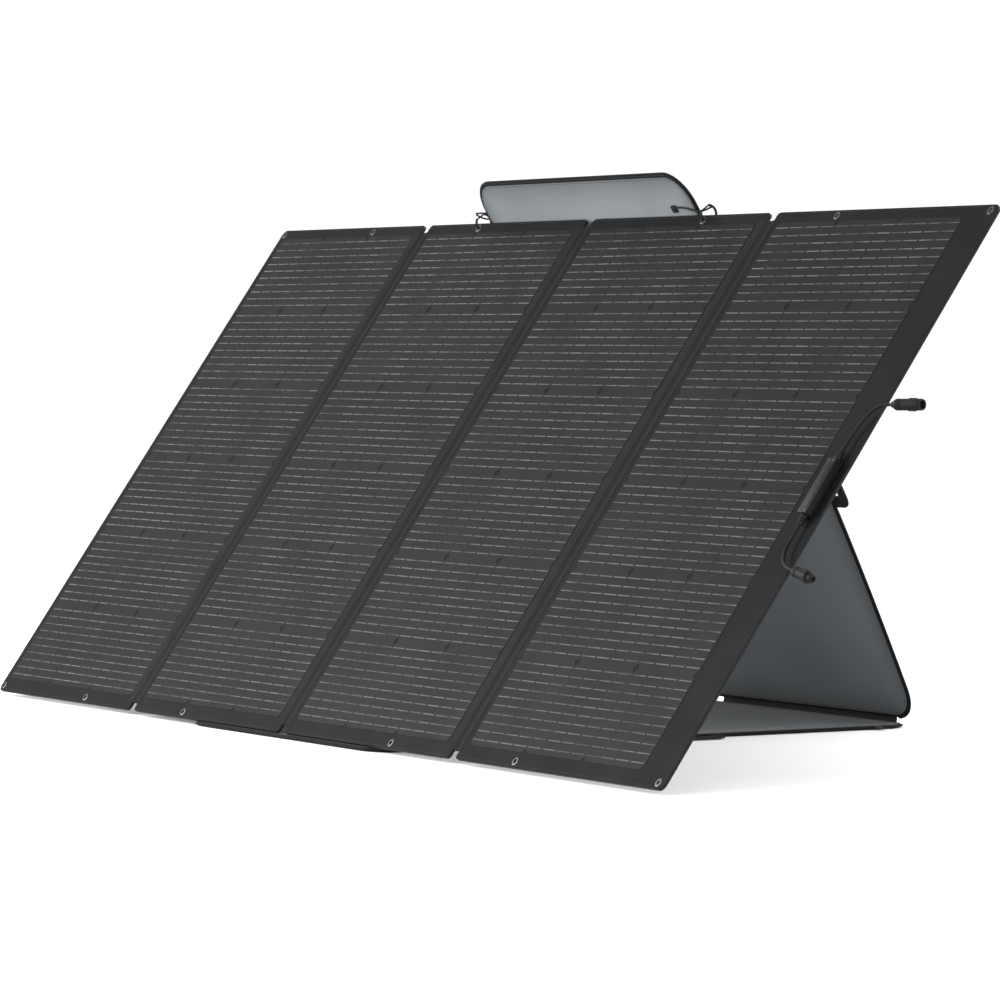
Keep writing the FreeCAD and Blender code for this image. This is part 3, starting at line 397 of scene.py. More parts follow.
def finish_piece(name: str, bm: BMesh, finish: Finish, body: str,
                 stands_for: Sequence[str] = (), smooth_deg: float = 35.0,
                 plane: Mapping | None = None) -> Object:
    """Write a bmesh to an object, dress it and let it ride on its body.

    Args:
        name: object name, in a maker's words.
        bm: mesh in metres, or in the plane's own millimetres; it is freed.
        finish: surface finish.
        body: CAD body that carries the piece, or an empty string for a piece that rides on no body.
        stands_for: CAD nodes that the piece replaces.
        smooth_deg: edges sharper than this stay sharp.
        plane: carries the mesh to the row frame, where it isn't there yet.

    Returns:
        The finished object.
    """
    if plane is not None:
        for vert in bm.verts:
            vert.co = plane(*vert.co)
    bmesh.ops.recalc_face_normals(bm, faces=bm.faces)
    sharp = math.radians(smooth_deg)
    for face in bm.faces:
        face.smooth = True
    for edge in bm.edges:
        edge.smooth = len(edge.link_faces) == 2 and edge.calc_face_angle(0.0) < sharp
    piece = to_object(name, bm, finish)
    if stands_for:
        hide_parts(*stands_for)
    if body:
        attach(piece, body)
    LOG.info("%s: %d faces", name, len(piece.data.polygons))
    return piece


def dress_node(node: Object, finish: Finish) -> None:
    """Give a carried-over CAD node its finish."""
    node.data.materials.clear()
    node.data.materials.append(finish.material())
    for face in node.data.polygons:
        face.material_index = 0


def add_cube(bm: BMesh, place: Matrix, size: Sequence[float]) -> list[BMVert]:
    """Add a box of a given size, centred on a frame."""
    return bmesh.ops.create_cube(bm, size=1.0, matrix=place @ Matrix.Diagonal((*size, 1.0)))["verts"]


def to_object(name: str, bm: BMesh, finish: Finish) -> Object:
    """Write a bmesh to a new object of one finish, and free it."""
    mesh = bpy.data.meshes.new(name)
    bm.to_mesh(mesh)
    bm.free()
    mesh.materials.append(finish.material())
    return add_object(name, mesh)


def add_block(bm: BMesh, low: Point, high: Point, bevel: float = 0.0,
              segments: int = 2) -> list[BMVert]:
    """Add a box between two corners, with bevelled edges where asked.

    Returns:
        The box's vertices.
    """
    size = [b - a for a, b in zip(low, high)]
    middle = [(a + b) / 2 for a, b in zip(low, high)]
    made = add_cube(bm, Matrix.Translation(middle), size)
    if not bevel:
        return made
    edges = list({edge for vert in made for edge in vert.link_edges})
    result = bmesh.ops.bevel(bm, geom=edges, offset=bevel, segments=segments, profile=0.5,
                             affect="EDGES", material=-1)
    return list({vert for face in result["faces"] for vert in face.verts}
                | {vert for vert in made if vert.is_valid})


def add_ribs(bm: BMesh, count: int, place: Matrix, low: Point, high: Point, bevel: float,
             segments: int = 1) -> None:
    """Add bevelled blocks evenly round a frame's Z axis."""
    for k in range(count):
        rib = add_block(bm, low, high, bevel, segments)
        turn = Matrix.Rotation(math.tau * k / count, 4, "Z")
        bmesh.ops.transform(bm, matrix=place @ turn, verts=rib)


def sweep(bm: BMesh, section: Sequence[tuple[float, float]], stations: Sequence[Matrix],
          closed: bool = False) -> None:
    """Sweep a closed section along stations.

    Args:
        bm: mesh to add to.
        section: points across the path, first along the station's X, then its Y.
        stations: frames along the path, Z forwards.
        closed: join the last station to the first.
    """
    ring = [bm.verts.new(stations[0] @ Vector((x, y, 0))) for x, y in section]
    edges = [bm.edges.new((a, b)) for a, b in zip(ring, ring[1:] + ring[:1])]
    first, previous = list(edges), stations[0]
    for station in stations[1:]:
        grown = bmesh.ops.extrude_edge_only(bm, edges=edges)["geom"]
        verts = [item for item in grown if isinstance(item, BMVert)]
        edges = [item for item in grown if isinstance(item, BMEdge)
                 and all(vert in verts for vert in item.verts)]
        bmesh.ops.transform(bm, matrix=station @ previous.inverted(), verts=verts)
        previous = station
    if closed:
        bmesh.ops.bridge_loops(bm, edges=first + edges)
    else:
        bmesh.ops.edgeloop_fill(bm, edges=first)
        bmesh.ops.edgeloop_fill(bm, edges=edges)


def axes(x: Vector, y: Vector, z: Vector) -> Matrix:
    """Turn that carries X, Y and Z to three given directions."""
    return Matrix((x, y, z)).transposed().to_4x4()


def aim(way: Vector) -> Matrix:
    """Turn that carries Z to a direction."""
    return UP.rotation_difference(way).to_matrix().to_4x4()


def stations_along(points: Sequence[Vector], up: Vector = UP, closed: bool = False) -> list[Matrix]:
    """Frames along a path of points: Z along the path, Y as near to up as it can be.

    Returns:
        One matrix per point.
    """
    count = len(points)
    frames = []
    for index, point in enumerate(points):
        before = points[index - 1] if index or closed else point
        after = points[(index + 1) % count] if index < count - 1 or closed else point
        forward = (after - before).normalized()
        side = up.cross(forward).normalized()
        rise = forward.cross(side)
        frames.append(Matrix.Translation(point) @ axes(side, rise, forward))
    return frames


def oval(width: float, height: float, count: int = 16, power: float = 1.0) -> list[tuple[float, float]]:
    """Points of an oval section; a power below one squares it up."""
    points = []
    for index in range(count):
        angle = 2 * math.pi * index / count
        x, y = math.cos(angle), math.sin(angle)
        points.append((math.copysign(abs(x) ** power, x) * width / 2,
                       math.copysign(abs(y) ** power, y) * height / 2))
    return points


def turned(bm: BMesh, profile: Sequence[tuple[float, float]], frame: Matrix,
           steps: int = 32) -> list[BMVert]:
    """Turn a profile of (radius, height) round a frame's Z axis, closed where it meets the axis.

    Returns:
        The turned shape's vertices.
    """
    verts = [bm.verts.new((radius, 0.0, height)) for radius, height in profile]
    edges = [bm.edges.new(pair) for pair in zip(verts, verts[1:])]
    made = bmesh.ops.spin(bm, geom=verts + edges, cent=(0, 0, 0), axis=(0, 0, 1), angle=2 * math.pi,
                          steps=steps, use_merge=True)
    grown = set(verts) | {item for item in made["geom_last"] if isinstance(item, BMVert)}
    stack = list(grown)
    while stack:
        for edge in stack.pop().link_edges:
            for vert in edge.verts:
                if vert not in grown:
                    grown.add(vert)
                    stack.append(vert)
    bmesh.ops.remove_doubles(bm, verts=list(grown), dist=1e-4)
    shape = [vert for vert in grown if vert.is_valid]
    bmesh.ops.transform(bm, matrix=frame, verts=shape)
    return shape


def outline(width: float, length: float, radius: float, inset: float, step: float = 12.0) -> list[Vector]:
    """Points round a rounded rectangle inset from its edge, in order, about a step apart."""
    r = radius - inset
    points: list[Vector] = []
    turns = [(width - radius, radius, -90), (width - radius, length - radius, 0),
             (radius, length - radius, 90), (radius, radius, 180)]
    arc_steps = max(4, int(r * math.pi / 2 / step * 1.5))
    for index, (cx, cy, start) in enumerate(turns):
        for turn in range(arc_steps + 1):
            angle = math.radians(start + 90 * turn / arc_steps)
            points.append(Vector((cx + r * math.cos(angle), cy + r * math.sin(angle), 0)))
        nx, ny, first = turns[(index + 1) % 4]
        angle = math.radians(first)
        goal = Vector((nx + r * math.cos(angle), ny + r * math.sin(angle), 0))
        run = goal - points[-1]
        pieces = max(1, int(run.length / step))
        points += [points[-1] + run * (k / pieces) for k in range(1, pieces)]
    return points


def rounded_grid(bm: BMesh, width: float, length: float, radius: float, inset: float,
                 cells: int = 48) -> None:
    """Add a grid of faces whose outline is a rounded rectangle, inset from the edge."""
    bmesh.ops.create_grid(bm, x_segments=cells, y_segments=int(cells * 1.5), size=1.0)
    w, l, r = width / 2 - inset, length / 2 - inset, radius - inset
    for vert in bm.verts:
        x, y = vert.co.x * w, vert.co.y * l
        ax, ay = (abs(x) - (w - r)) / r, (abs(y) - (l - r)) / r
        if ax > 0 and ay > 0:
            cx, cy = ax * math.sqrt(1 - ay * ay / 2), ay * math.sqrt(1 - ax * ax / 2)
            x = math.copysign(w - r + cx * r, x)
            y = math.copysign(l - r + cy * r, y)
        vert.co = Vector((width / 2 + x, length / 2 + y, 0))


def rectangle(left: float, low: float, right: float, high: float, level: float) -> list[Vector]:
    """Closed path round a rectangle."""
    return [Vector((x, y, level)) for x, y in ((left, low), (right, low), (right, high), (left, high),
                                               (left, low))]


def spaced(points: Sequence[Vector], first: float, pitch: float) -> Iterator[tuple[Vector, Vector]]:
    """Give places at an even pitch along a path, each with the path's direction.

    Args:
        points: the path.
        first: distance of the first place from the path's start.
        pitch: distance from one place to the next.
    """
    run = first
    for start, stop in zip(points, points[1:]):
        span, forward = (stop - start).length, (stop - start).normalized()
        while run < span:
            yield start + forward * run, forward
            run += pitch
        run -= span


def add_stitches(bm: BMesh, points: Sequence[Vector], length: float, gap: float,
                 thread: float) -> None:
    """Add a row of short thread stitches along a path.

    Args:
        bm: mesh to add to.
        points: the path, in the plane's millimetres.
        length: one stitch.
        gap: from one stitch to the next.
        thread: thread thickness.
    """
    for spot, forward in spaced(points, length / 2, length + gap):
        place = Matrix.Translation(spot) @ axes(forward, UP.cross(forward), UP)
        add_cube(bm, place, (length, thread, thread))


def row_mm(x: float, y: float, z: float) -> Vector:
    """Row-frame millimetres to metres."""
    return Vector((x, y, z)) * MM


def wrinkle(x: float, y: float, seed: float) -> float:
    """Soft wrinkle from 0 to 1 at a point of a cloth, in its own millimetres."""
    broad = noise.noise(Vector((x / 210, y / 260, seed)))
    fine = noise.noise(Vector((x / 70, y / 90, seed + 9)))
    return min(1.0, max(0.0, 0.5 + 0.55 * broad + 0.18 * fine))


# ------------------------------------------------------------------ the array
@dataclass
class Panel:
    """One rigid panel of the array, between two folds."""

    number: int
    left: float
    right: float
    first_cell: float
    eyelets: tuple[float, ...]
    columns: int = 3
    rows: int = 6
    cell_u: float = 173.8
    cell_v: float = 168.4
    first_v: float = 27.5
    ribbons: int = 10
    ribbon_pitch: float = 16.1
    ribbon_inset: float = 10.95
    dashes: int = 4
    dash: float = 37.5
    dash_inset: float = 2.2
    dash_pitch: float = 43.45
    dash_width: float = 2.0
    dash_depth: float = 0.3
    cell_gap: float = 1.6
    cell_cut: float = 7.0
    hem_stitch: Point = (3.2, 1.6, 0.5)
    back_stitch: Point = (4.2, 2.6, 0.6)
    top_v: float = 1047.0
    low_v: float = 11.0

    @property
    def body(self) -> str:
        """CAD body of the panel."""
        return f"panel_{self.number}"

    def dress(self, frame: dict) -> None:
        """Give the carried-over layers their materials."""
        for layer, finish in (("film", FILM), ("cells", CELLS), ("board", BOARD), ("cover", COVER)):
            dress_node(frame["nodes"][f"{self.body}_{layer}"], finish)

    def build(self) -> None:
        """Build the ribbon dashes, the eyelets and the hem stitches."""
        self.build_ribbons()
        self.build_joints()
        self.build_eyelets()
        self.build_hem()

    def cell_corners(self) -> list[tuple[float, float]]:
        """Lower left corners of the panel's cells, on the face."""
        return [(self.first_cell + column * self.cell_u, self.first_v + row * self.cell_v)
                for column in range(self.columns) for row in range(self.rows)]

    def build_ribbons(self) -> None:
        """Build the short ribbon lengths that show between the cells' dark strips."""
        bm = bmesh.new()
        half = self.dash_width / 2
        for u0, v0 in self.cell_corners():
            for line in range(self.ribbons):
                v = v0 + self.ribbon_inset + line * self.ribbon_pitch
                for index in range(self.dashes):
                    u = u0 + self.dash_inset + index * self.dash_pitch
                    add_block(bm, (u, v - half, -self.dash_depth), (u + self.dash, v + half, 0.0))
        finish_piece(f"{self.body}_ribbon_dashes", bm, RIBBON, self.body, [f"{self.body}_ribbons"],
                     plane=ARRAY)

    def build_joints(self) -> None:
        """Build the filler between neighbouring cells, which leaves their cut corners open."""
        bm = bmesh.new()
        gap, cut, lap = self.cell_gap, self.cell_cut, 0.05
        wide, tall = self.cell_u - gap, self.cell_v - gap
        back, front = -0.8, -0.33
        for index, (u, v) in enumerate(self.cell_corners()):
            column, row = divmod(index, self.rows)
            if column < self.columns - 1:
                add_block(bm, (u + wide - lap, v + cut, back), (u + wide + gap + lap, v + tall - cut, front))
            if row < self.rows - 1:
                add_block(bm, (u + cut, v + tall - lap, back), (u + wide - cut, v + tall + gap + lap, front))
        finish_piece(f"{self.body}_cell_joints", bm, CELLS, self.body, plane=ARRAY)

    def build_eyelets(self) -> None:
        """Build the rolled eyelets along the panel's top and bottom edges."""
        bm = bmesh.new()
        rim = [(4.0, -6.4), (4.0, -0.5), (4.3, -0.1), (5.2, 0.0), (6.6, -0.15), (7.4, -0.5), (7.5, -0.8),
               (5.0, -0.8), (5.0, -6.0), (7.5, -6.0), (7.3, -6.4), (6.4, -6.7), (4.6, -6.75), (4.0, -6.4)]
        for u in self.eyelets:
            for v in (self.low_v, self.top_v):
                turned(bm, rim, ARRAY.stand(u, v, 0), 28)
        finish_piece(f"{self.body}_rolled_eyelets", bm, EYELET, self.body, [f"{self.body}_eyelets"])

    def build_hem(self) -> None:
        """Build the seam stitches along the front's two long edges and round the back."""
        bm = bmesh.new()
        beyond, start, stop = 7.5, self.left + 26, self.right - 26
        for v in (self.low_v - beyond, self.top_v + beyond):
            add_stitches(bm, [Vector((start, v, -0.75)), Vector((stop, v, -0.75))], *self.hem_stitch)
        side, end, back = 27.0, 24.0, -6.1
        seam = rectangle(self.left + side, end, self.right - side, ARRAY.height - end, back)
        add_stitches(bm, seam, *self.back_stitch)
        finish_piece(f"{self.body}_hem_stitches", bm, THREAD, self.body, plane=ARRAY)


@dataclass
class Hinge:
    """One laminated cloth hinge between two panels."""

    fold: float
    left_panel: int
    right_panel: int
    low: float = 15.3
    high: float = 1042.7
    left_reach: float = 33.0
    right_reach: float = 15.0
    bend: float = 10.5
    pivot_w: float = -1.5
    rows: int = 30
    stitch: Point = (3.4, 2.6, 0.55)

    def build(self) -> None:
        """Build the cloth, which dips into the gap between the two panels, and its stitch rows."""
        top = [(-self.left_reach, -0.62), (-self.left_reach + 1.2, -0.3), (-22, -0.28), (-12.5, -0.3),
               (-10.2, -0.75), (-7.5, -1.7), (-4, -2.4), (0, -2.6), (4, -2.4), (7.5, -1.7),
               (10.2, -0.75), (12.5, -0.3), (self.right_reach - 1, -0.34), (self.right_reach, -0.62)]
        under = [(self.right_reach, -0.79), (11.0, -0.79), (10.6, -2.2), (7.5, -3.4), (4, -4.0), (0, -4.2),
                 (-4, -4.0), (-7.5, -3.4), (-10.6, -2.2), (-11.0, -0.79), (-self.left_reach, -0.79)]
        bm = bmesh.new()
        section = [(self.fold + u, w) for u, w in top + under]
        flat = axes(Vector((1, 0, 0)), UP, Vector((0, 1, 0)))
        span = self.high - self.low
        sweep(bm, section, [Matrix.Translation((0, self.low + span * k / self.rows, 0)) @ flat
                            for k in range(self.rows + 1)])
        left, right = f"panel_{self.left_panel}", f"panel_{self.right_panel}"
        cloth = finish_piece(f"hinge_cloth_{self.left_panel}_{self.right_panel}", bm, HINGE, "",
                             [f"{left}_strip_right", f"{right}_strip_left"], smooth_deg=60, plane=ARRAY)
        middle = (self.low + self.high) / 2
        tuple(ARRAY(self.fold - self.bend, middle, self.pivot_w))
        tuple(ARRAY(self.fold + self.bend, middle, self.pivot_w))
        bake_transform(cloth)
        self.build_stitches(left, -30.5, 1)
        self.build_stitches(left, -13.5, 2)
        self.build_stitches(right, 12.6, 3)

    def build_stitches(self, panel: str, offset: float, number: int) -> None:
        """Build one row of stitches on the side that a panel carries."""
        bm = bmesh.new()
        u, w, end_gap = self.fold + offset, -0.22, 6
        row = [Vector((u, self.low + end_gap, w)), Vector((u, self.high - end_gap, w))]
        add_stitches(bm, row, *self.stitch)
        finish_piece(f"{panel}_hinge_seam_{number}", bm, THREAD, panel, plane=ARRAY)


# ------------------------------------------------------------------ the zip case
@dataclass
class CaseHalf:
    """One half of the zip case: outer cloth, lining, edge binding and zip."""

    name: str
    body: str
    plane: Mapping
    outer: Finish
    inner: Finish
    seed: float
    width: float = 708.0
    length: float = 1056.0
    corner: float = 60.0
    cloth_inset: float = 8.6
    bound: float = 6.0
    thickness: float = 6.2
    zip_wide: float = 3.0
    tooth_pitch: float = 2.6
    tooth: Point = (1.5, 2.2, 2.3)
    fold_y: float = 1056.0
    wrinkle_fade: float = 60.0
    # How far in from the edge the lining's painted shade reaches.
    painted_shade_fade: float = 55.0
    # Inset, height, stitch length, gap and thread of each row.
    seams: tuple[tuple[float, ...], ...] = ((11.5, 0.05, 3.6, 2.0, 0.55), (11.5, -6.1, 3.6, 2.0, 0.45),
                                            (34.0, -6.0, 4.2, 2.4, 0.6))

    def build(self) -> None:
        """Build the half's pieces."""
        self.build_outer()
        self.build_lining()
        self.build_binding()
        self.build_zip()
        self.build_seams()

    def from_edge(self, x: float, y: float) -> float:
        """Distance of a point inwards from the cloth's nearest straight edge."""
        return min(x, self.width - x, y, self.length - y) - self.cloth_inset

    def cloth(self, top: float, thickness: float, relief: float, downwards: bool) -> BMesh:
        """Make a closed cloth layer with soft wrinkles on its showing face.

        Args:
            top: height of the showing face below the half's inner face.
            thickness: layer thickness.
            relief: wrinkle height, taken out of the thickness.
            downwards: the showing face is the outer one.

        Returns:
            The layer, in the half's own millimetres.
        """
        bm = bmesh.new()
        rounded_grid(bm, self.width, self.length, self.corner, self.cloth_inset)
        for vert in bm.verts:
            x, y = vert.co.x, vert.co.y
            fade = min(1.0, max(0.0, self.from_edge(x, y) / self.wrinkle_fade))
            dent = relief * fade * wrinkle(x, y, self.seed)
            vert.co.z = top + dent if downwards else top - dent
        back = bmesh.ops.extrude_face_region(bm, geom=bm.faces[:])["geom"]
        level = top + thickness if downwards else top - thickness
        for item in back:
            if isinstance(item, BMVert):
                item.co.z = level
        return bm

    def build_outer(self) -> None:
        """Build the outer cloth over its stiffener."""
        bm = self.cloth(-self.thickness, 4.1, 0.9, True)
        piece = finish_piece(f"{self.name}_outer_cloth", bm, self.outer, self.body,
                             [f"{self.name}_shell"], plane=self.plane)

    def build_lining(self) -> None:
        """Build the lining, with an edge value that paints shade on it towards the binding."""
        bm = self.cloth(0.0, 1.95, 1.1, False)
        layer = bm.verts.layers.float.new("edge")
        for vert in bm.verts:
            near = self.from_edge(vert.co.x, vert.co.y)
            vert[layer] = max(0.0, 1 - near / self.painted_shade_fade) ** 1.6
        piece = finish_piece(f"{self.name}_lining_cloth", bm, self.inner, self.body,
                             [f"{self.name}_lining"], plane=self.plane)

    def build_binding(self) -> None:
        """Build the folded binding round the half's edge."""
        bm = bmesh.new()
        path = outline(self.width, self.length, self.corner, 3 + self.bound / 2)
        middle = Vector((0, 0, -self.thickness / 2))
        stations = stations_along([point + middle for point in path], closed=True)
        sweep(bm, oval(self.bound, self.thickness, 14, 0.75), stations, True)
        finish_piece(f"{self.name}_edge_binding", bm, BINDING, self.body, [f"{self.name}_binding"],
                     smooth_deg=60, plane=self.plane)

    def zip_path(self) -> list[Vector]:
        """Path of the zip round three sides and four corners, open along the fold."""
        ring = [point + Vector((0, 0, -self.thickness / 2))
                for point in outline(self.width, self.length, self.corner, self.zip_wide / 2 + 0.3)]
        open_side = [abs(p.y - self.fold_y) < 4 and self.corner < p.x < self.width - self.corner
                     for p in ring]
        start = max(index for index, is_open in enumerate(open_side) if is_open) + 1
        order = [*range(start, len(ring)), *range(start)]
        return [ring[index] for index in order if not open_side[index]]

    def build_zip(self) -> None:
        """Build the zip's tape and its coil of teeth."""
        bm = bmesh.new()
        path = self.zip_path()
        tape = [(-1.2, -0.4), (1.5, -0.4), (1.5, 0.4), (-1.2, 0.4)]
        sweep(bm, tape, stations_along(path))
        for spot, forward in spaced(path, 0.0, self.tooth_pitch):
            side = forward.cross(UP)
            add_cube(bm, Matrix.Translation(spot + side * 0.5) @ axes(forward, side, UP), self.tooth)
        finish_piece(f"{self.name}_zip_coil", bm, ZIP, self.body, [f"{self.name}_zip"], plane=self.plane)

    def build_seams(self) -> None:
        """Build the seam stitches beside the binding, on both faces."""
        bm = bmesh.new()
        for inset, height, length, gap, thread in self.seams:
            row = outline(self.width, self.length, self.corner, inset, 24.0)
            add_stitches(bm, [p + Vector((0, 0, height)) for p in row + row[:1]], length, gap, thread)
        finish_piece(f"{self.name}_edge_seam", bm, THREAD, self.body, plane=self.plane)


@dataclass
class Spine:
    """Cloth strip that joins the two halves along the back edge."""

    left: float = -313.5
    right: float = 245.5
    thickness: float = 1.1
    columns: int = 24
    flat_length: float = 21.0

    def build(self) -> None:
        """Build the strip, curved from the base up to the lid."""
        path = [(519.9, 0.6), (522.5, 0.6), (525.5, 0.65), (528.2, 1.2), (530.4, 2.7), (531.9, 5.0),
                (532.7, 8.0), (532.8, 10.6), (532.4, 13.0)]
        middle, half = (self.left + self.right) / 2, (self.right - self.left) / 2
        stations = stations_along([Vector((middle, y, z)) for y, z in path], Vector((0, 1, -1)))
        bm = bmesh.new()
        level = self.thickness / 2
        places = [-half + 2 * half * k / self.columns for k in range(self.columns + 1)]
        section = [(x, -level) for x in places] + [(x, level) for x in reversed(places)]
        sweep(bm, section, stations)
        strip = finish_piece("spine_cloth", bm, OXFORD, "", ["case_spine"], smooth_deg=60, plane=row_mm)
        row_mm(middle, 523, 0.6)
        row_mm(middle, 532, 12.5)
        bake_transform(strip)


@dataclass
class WebbingHandle:
    """Flat webbing handle, sewn to short loops at a half's right edge."""

    name: str
    body: str
    half_body: str
    plane: Mapping
    start: float
    span: float = 240.0
    root: float = 716.6
    reach: float = 750.0
    webbing: float = 22.0
    thickness: float = 3.8
    corner: float = 18.0
    middle_h: float = -3.1
    loop: tuple[float, float] = (708.2, 716.2)
    grip: float = 104.0
    grip_stitch: Point = (3.2, 1.8, 0.5)
    loop_stitch: Point = (2.4, 1.2, 0.45)

    def build(self) -> None:
        """Build the handle, its grip sleeve, its loops and their stitches."""
        self.build_strap()
        self.build_loops()

    def line(self) -> list[Vector]:
        """Centre line of the U, in the half's own millimetres."""
        half = self.webbing / 2
        radius = self.corner - half
        low, high = self.start + half, self.start + self.span - half
        out = self.reach - half
        points = [Vector((self.root + (out - radius - self.root) * k / 3, low, self.middle_h))
                  for k in range(3)]
        for turn in range(7):
            angle = math.radians(-90 + 15 * turn)
            points.append(Vector((out - radius + radius * math.cos(angle),
                                  low + radius + radius * math.sin(angle), self.middle_h)))
        for k in range(1, 12):
            points.append(Vector((out, low + radius + (high - low - 2 * radius) * k / 12, self.middle_h)))
        return points + [Vector((p.x, low + high - p.y, p.z)) for p in reversed(points[:10])]

    def build_strap(self) -> None:
        """Build the webbing and the folded sleeve round its middle."""
        bm = bmesh.new()
        line = self.line()
        sweep(bm, oval(self.webbing, self.thickness, 20, 0.35), stations_along(line))
        finish_piece(f"{self.name}_webbing", bm, WEBBING, self.body, [self.name], 50, self.plane)
        bm = bmesh.new()
        x, middle = self.reach - self.webbing / 2, self.start + self.span / 2
        half, steps = self.grip / 2, 8
        sleeve = [Vector((x, middle - half + self.grip * k / steps, self.middle_h)) for k in range(steps + 1)]
        stations = stations_along(sleeve)
        for index in (0, steps):
            stations[index] = stations[index] @ Matrix.Diagonal((0.965, 0.86, 1, 1))
        sweep(bm, oval(self.webbing + 0.8, self.thickness + 1.6, 20, 0.45), stations)
        ends, level = (middle - half + 2, middle + half - 2), self.middle_h + 2.65
        for seam in (x - 8.5, x + 8.5):
            add_stitches(bm, [Vector((seam, y, level)) for y in ends], *self.grip_stitch)
        finish_piece(f"{self.name}_grip_sleeve", bm, BINDING, self.body, smooth_deg=50, plane=self.plane)

    def build_loops(self) -> None:
        """Build the two short loops that hold the handle's ends."""
        bm = bmesh.new()
        for low in (self.start, self.start + self.span - self.webbing):
            (near, far), middle = self.loop, self.middle_h
            add_block(bm, (near, low, middle - 2.0), (far, low + self.webbing, middle + 2.0), 0.8)
            ends = (low + 2, low + self.webbing - 2)
            for x in (near + 2, near + 4, near + 6):
                add_stitches(bm, [Vector((x, y, middle + 2.05)) for y in ends], *self.loop_stitch)
        finish_piece(f"{self.name}_sewn_loops", bm, WEBBING, self.half_body, [f"{self.name}_loops"],
                     plane=self.plane)


@dataclass
class ZipSlider:
    """Zip slider with its pull, on the base half's zip."""

    name: str
    node: str
    zip_x: float
    outwards: float
    low: float = 432.8
    high: float = 448.8
    jaw: float = 4.9
    wall: float = 1.3
    pull_end: float = 27.4
    pull_width: float = 6.8
    ribs: int = 5
    first_rib: float = 16.5
    rib_pitch: float = 2.0

    def slab(self, bm: BMesh, reach: tuple[float, float], along: tuple[float, float],
             level: tuple[float, float], bevel: float, segments: int = 2) -> None:
        """Add a block by its reach outwards from the zip, its span along it and its height."""
        near, far = sorted(self.zip_x + self.outwards * value for value in reach)
        add_block(bm, (near, along[0], level[0]), (far, along[1], level[1]), bevel, segments)

    def build(self) -> None:
        """Build the slider's two plates, its bridge and the pull."""
        bm = bmesh.new()
        middle = (self.low + self.high) / 2
        for level in ((0.4, 1.6), (4.6, 5.8)):
            self.slab(bm, (-2.6, self.jaw), (self.low, self.high), level, 0.5)
        self.slab(bm, (self.jaw - self.wall, self.jaw), (self.low + 0.6, self.high - 0.6), (0.9, 5.3), 0.4)
        half = self.pull_width / 2
        self.slab(bm, (3.9, self.pull_end), (middle - half, middle + half), (2.4, 3.9), 0.6, 3)
        grip = half - 0.8
        for k in range(self.ribs):
            start = self.first_rib + self.rib_pitch * k
            self.slab(bm, (start, start + 1), (middle - grip, middle + grip), (2.2, 4.15), 0.2)
        finish_piece(self.name, bm, SLIDER, self.node, [self.node], plane=row_mm)


# ------------------------------------------------------------------ junction box, leads and plugs
@dataclass
class JunctionBox:
    """Junction box on the array's right edge, with its cover and two glands."""

    left: float = 2326.0
    right: float = 2349.0
    low: float = 480.0
    high: float = 580.0
    top: float = 12.0
    cover_low: float = 12.25
    cover_top: float = 15.6
    rib_pitch: float = 14.0
    gland_w: float = 6.7
    body: str = "panel_4"

    def build(self) -> None:
        """Build the box, the cover, its screws and the glands."""
        bm = bmesh.new()
        add_block(bm, (self.left, self.low, -0.8), (self.right, self.high, self.top), 1.6, 3)
        for k in range(5):
            v = self.low + 22 + self.rib_pitch * k
            for side in (self.left - 0.15, self.right - 0.55):
                add_block(bm, (side, v, 1.6), (side + 0.7, v + 6, 9.4), 0.3, 1)
        finish_piece("junction_box_body", bm, MOULDED, self.body, ["junction_box"], plane=ARRAY)
        bm = bmesh.new()
        side, end = 3.2, 9.5
        add_block(bm, (self.left, self.low, self.cover_low), (self.right, self.high, self.cover_top), 1.1, 3)
        add_block(bm, (self.left + side, self.low + end, self.cover_top - 0.4),
                  (self.right - side, self.high - end, self.cover_top + 0.55), 0.5)
        finish_piece("junction_box_lid", bm, COVER_BLACK, self.body, ["junction_box_cover"], plane=ARRAY)
        self.build_screws()
        self.build_gland("gland_upper", self.high, 1)
        self.build_gland("gland_lower", self.low, -1)

    def build_screws(self) -> None:
        """Build the four screws of the cover."""
        bm = bmesh.new()
        head = [(0, 0.1), (0.55, 0.12), (0.6, 0.5), (1.7, 0.42), (2.1, 0.1), (2.1, -0.6)]
        side, end = 4.6, 4.8
        for u in (self.left + side, self.right - side):
            for v in (self.low + end, self.high - end):
                turned(bm, head, ARRAY.stand(u, v, self.cover_top - 0.1), 18)
        finish_piece("junction_box_screws", bm, STEEL, self.body, smooth_deg=50)

    def build_gland(self, name: str, start: float, way: int) -> None:
        """Build one cable gland along the array's height.

        Args:
            name: CAD node that it stands for.
            start: the box's end face.
            way: 1 upwards, -1 downwards.
        """
        bm = bmesh.new()
        along = ARRAY(0, 1, 0) - ARRAY(0, 0, 0)
        root = ARRAY((self.left + self.right) / 2, start, self.gland_w)
        place = Matrix.Translation(root) @ aim(along * way) @ Matrix.Scale(MM, 4)
        turned(bm, [(0.0, -0.2), (6.3, -0.2), (6.5, 0.3), (6.5, 4.4), (6.0, 5.0), (0.0, 5.0)], place, 6)
        dome = [(0.0, 4.8), (5.4, 4.8), (5.6, 5.4), (5.6, 8.6), (5.0, 9.4), (5.0, 13.5), (4.7, 15.5),
                (3.9, 17.4), (2.7, 18.0), (0.0, 18.0)]
        turned(bm, dome, place, 24)
        add_ribs(bm, 12, place, (4.6, -0.5, 9.6), (5.1, 0.5, 15.0), 0.25)
        finish_piece(f"{name}_nut", bm, GLAND, self.body, [name])


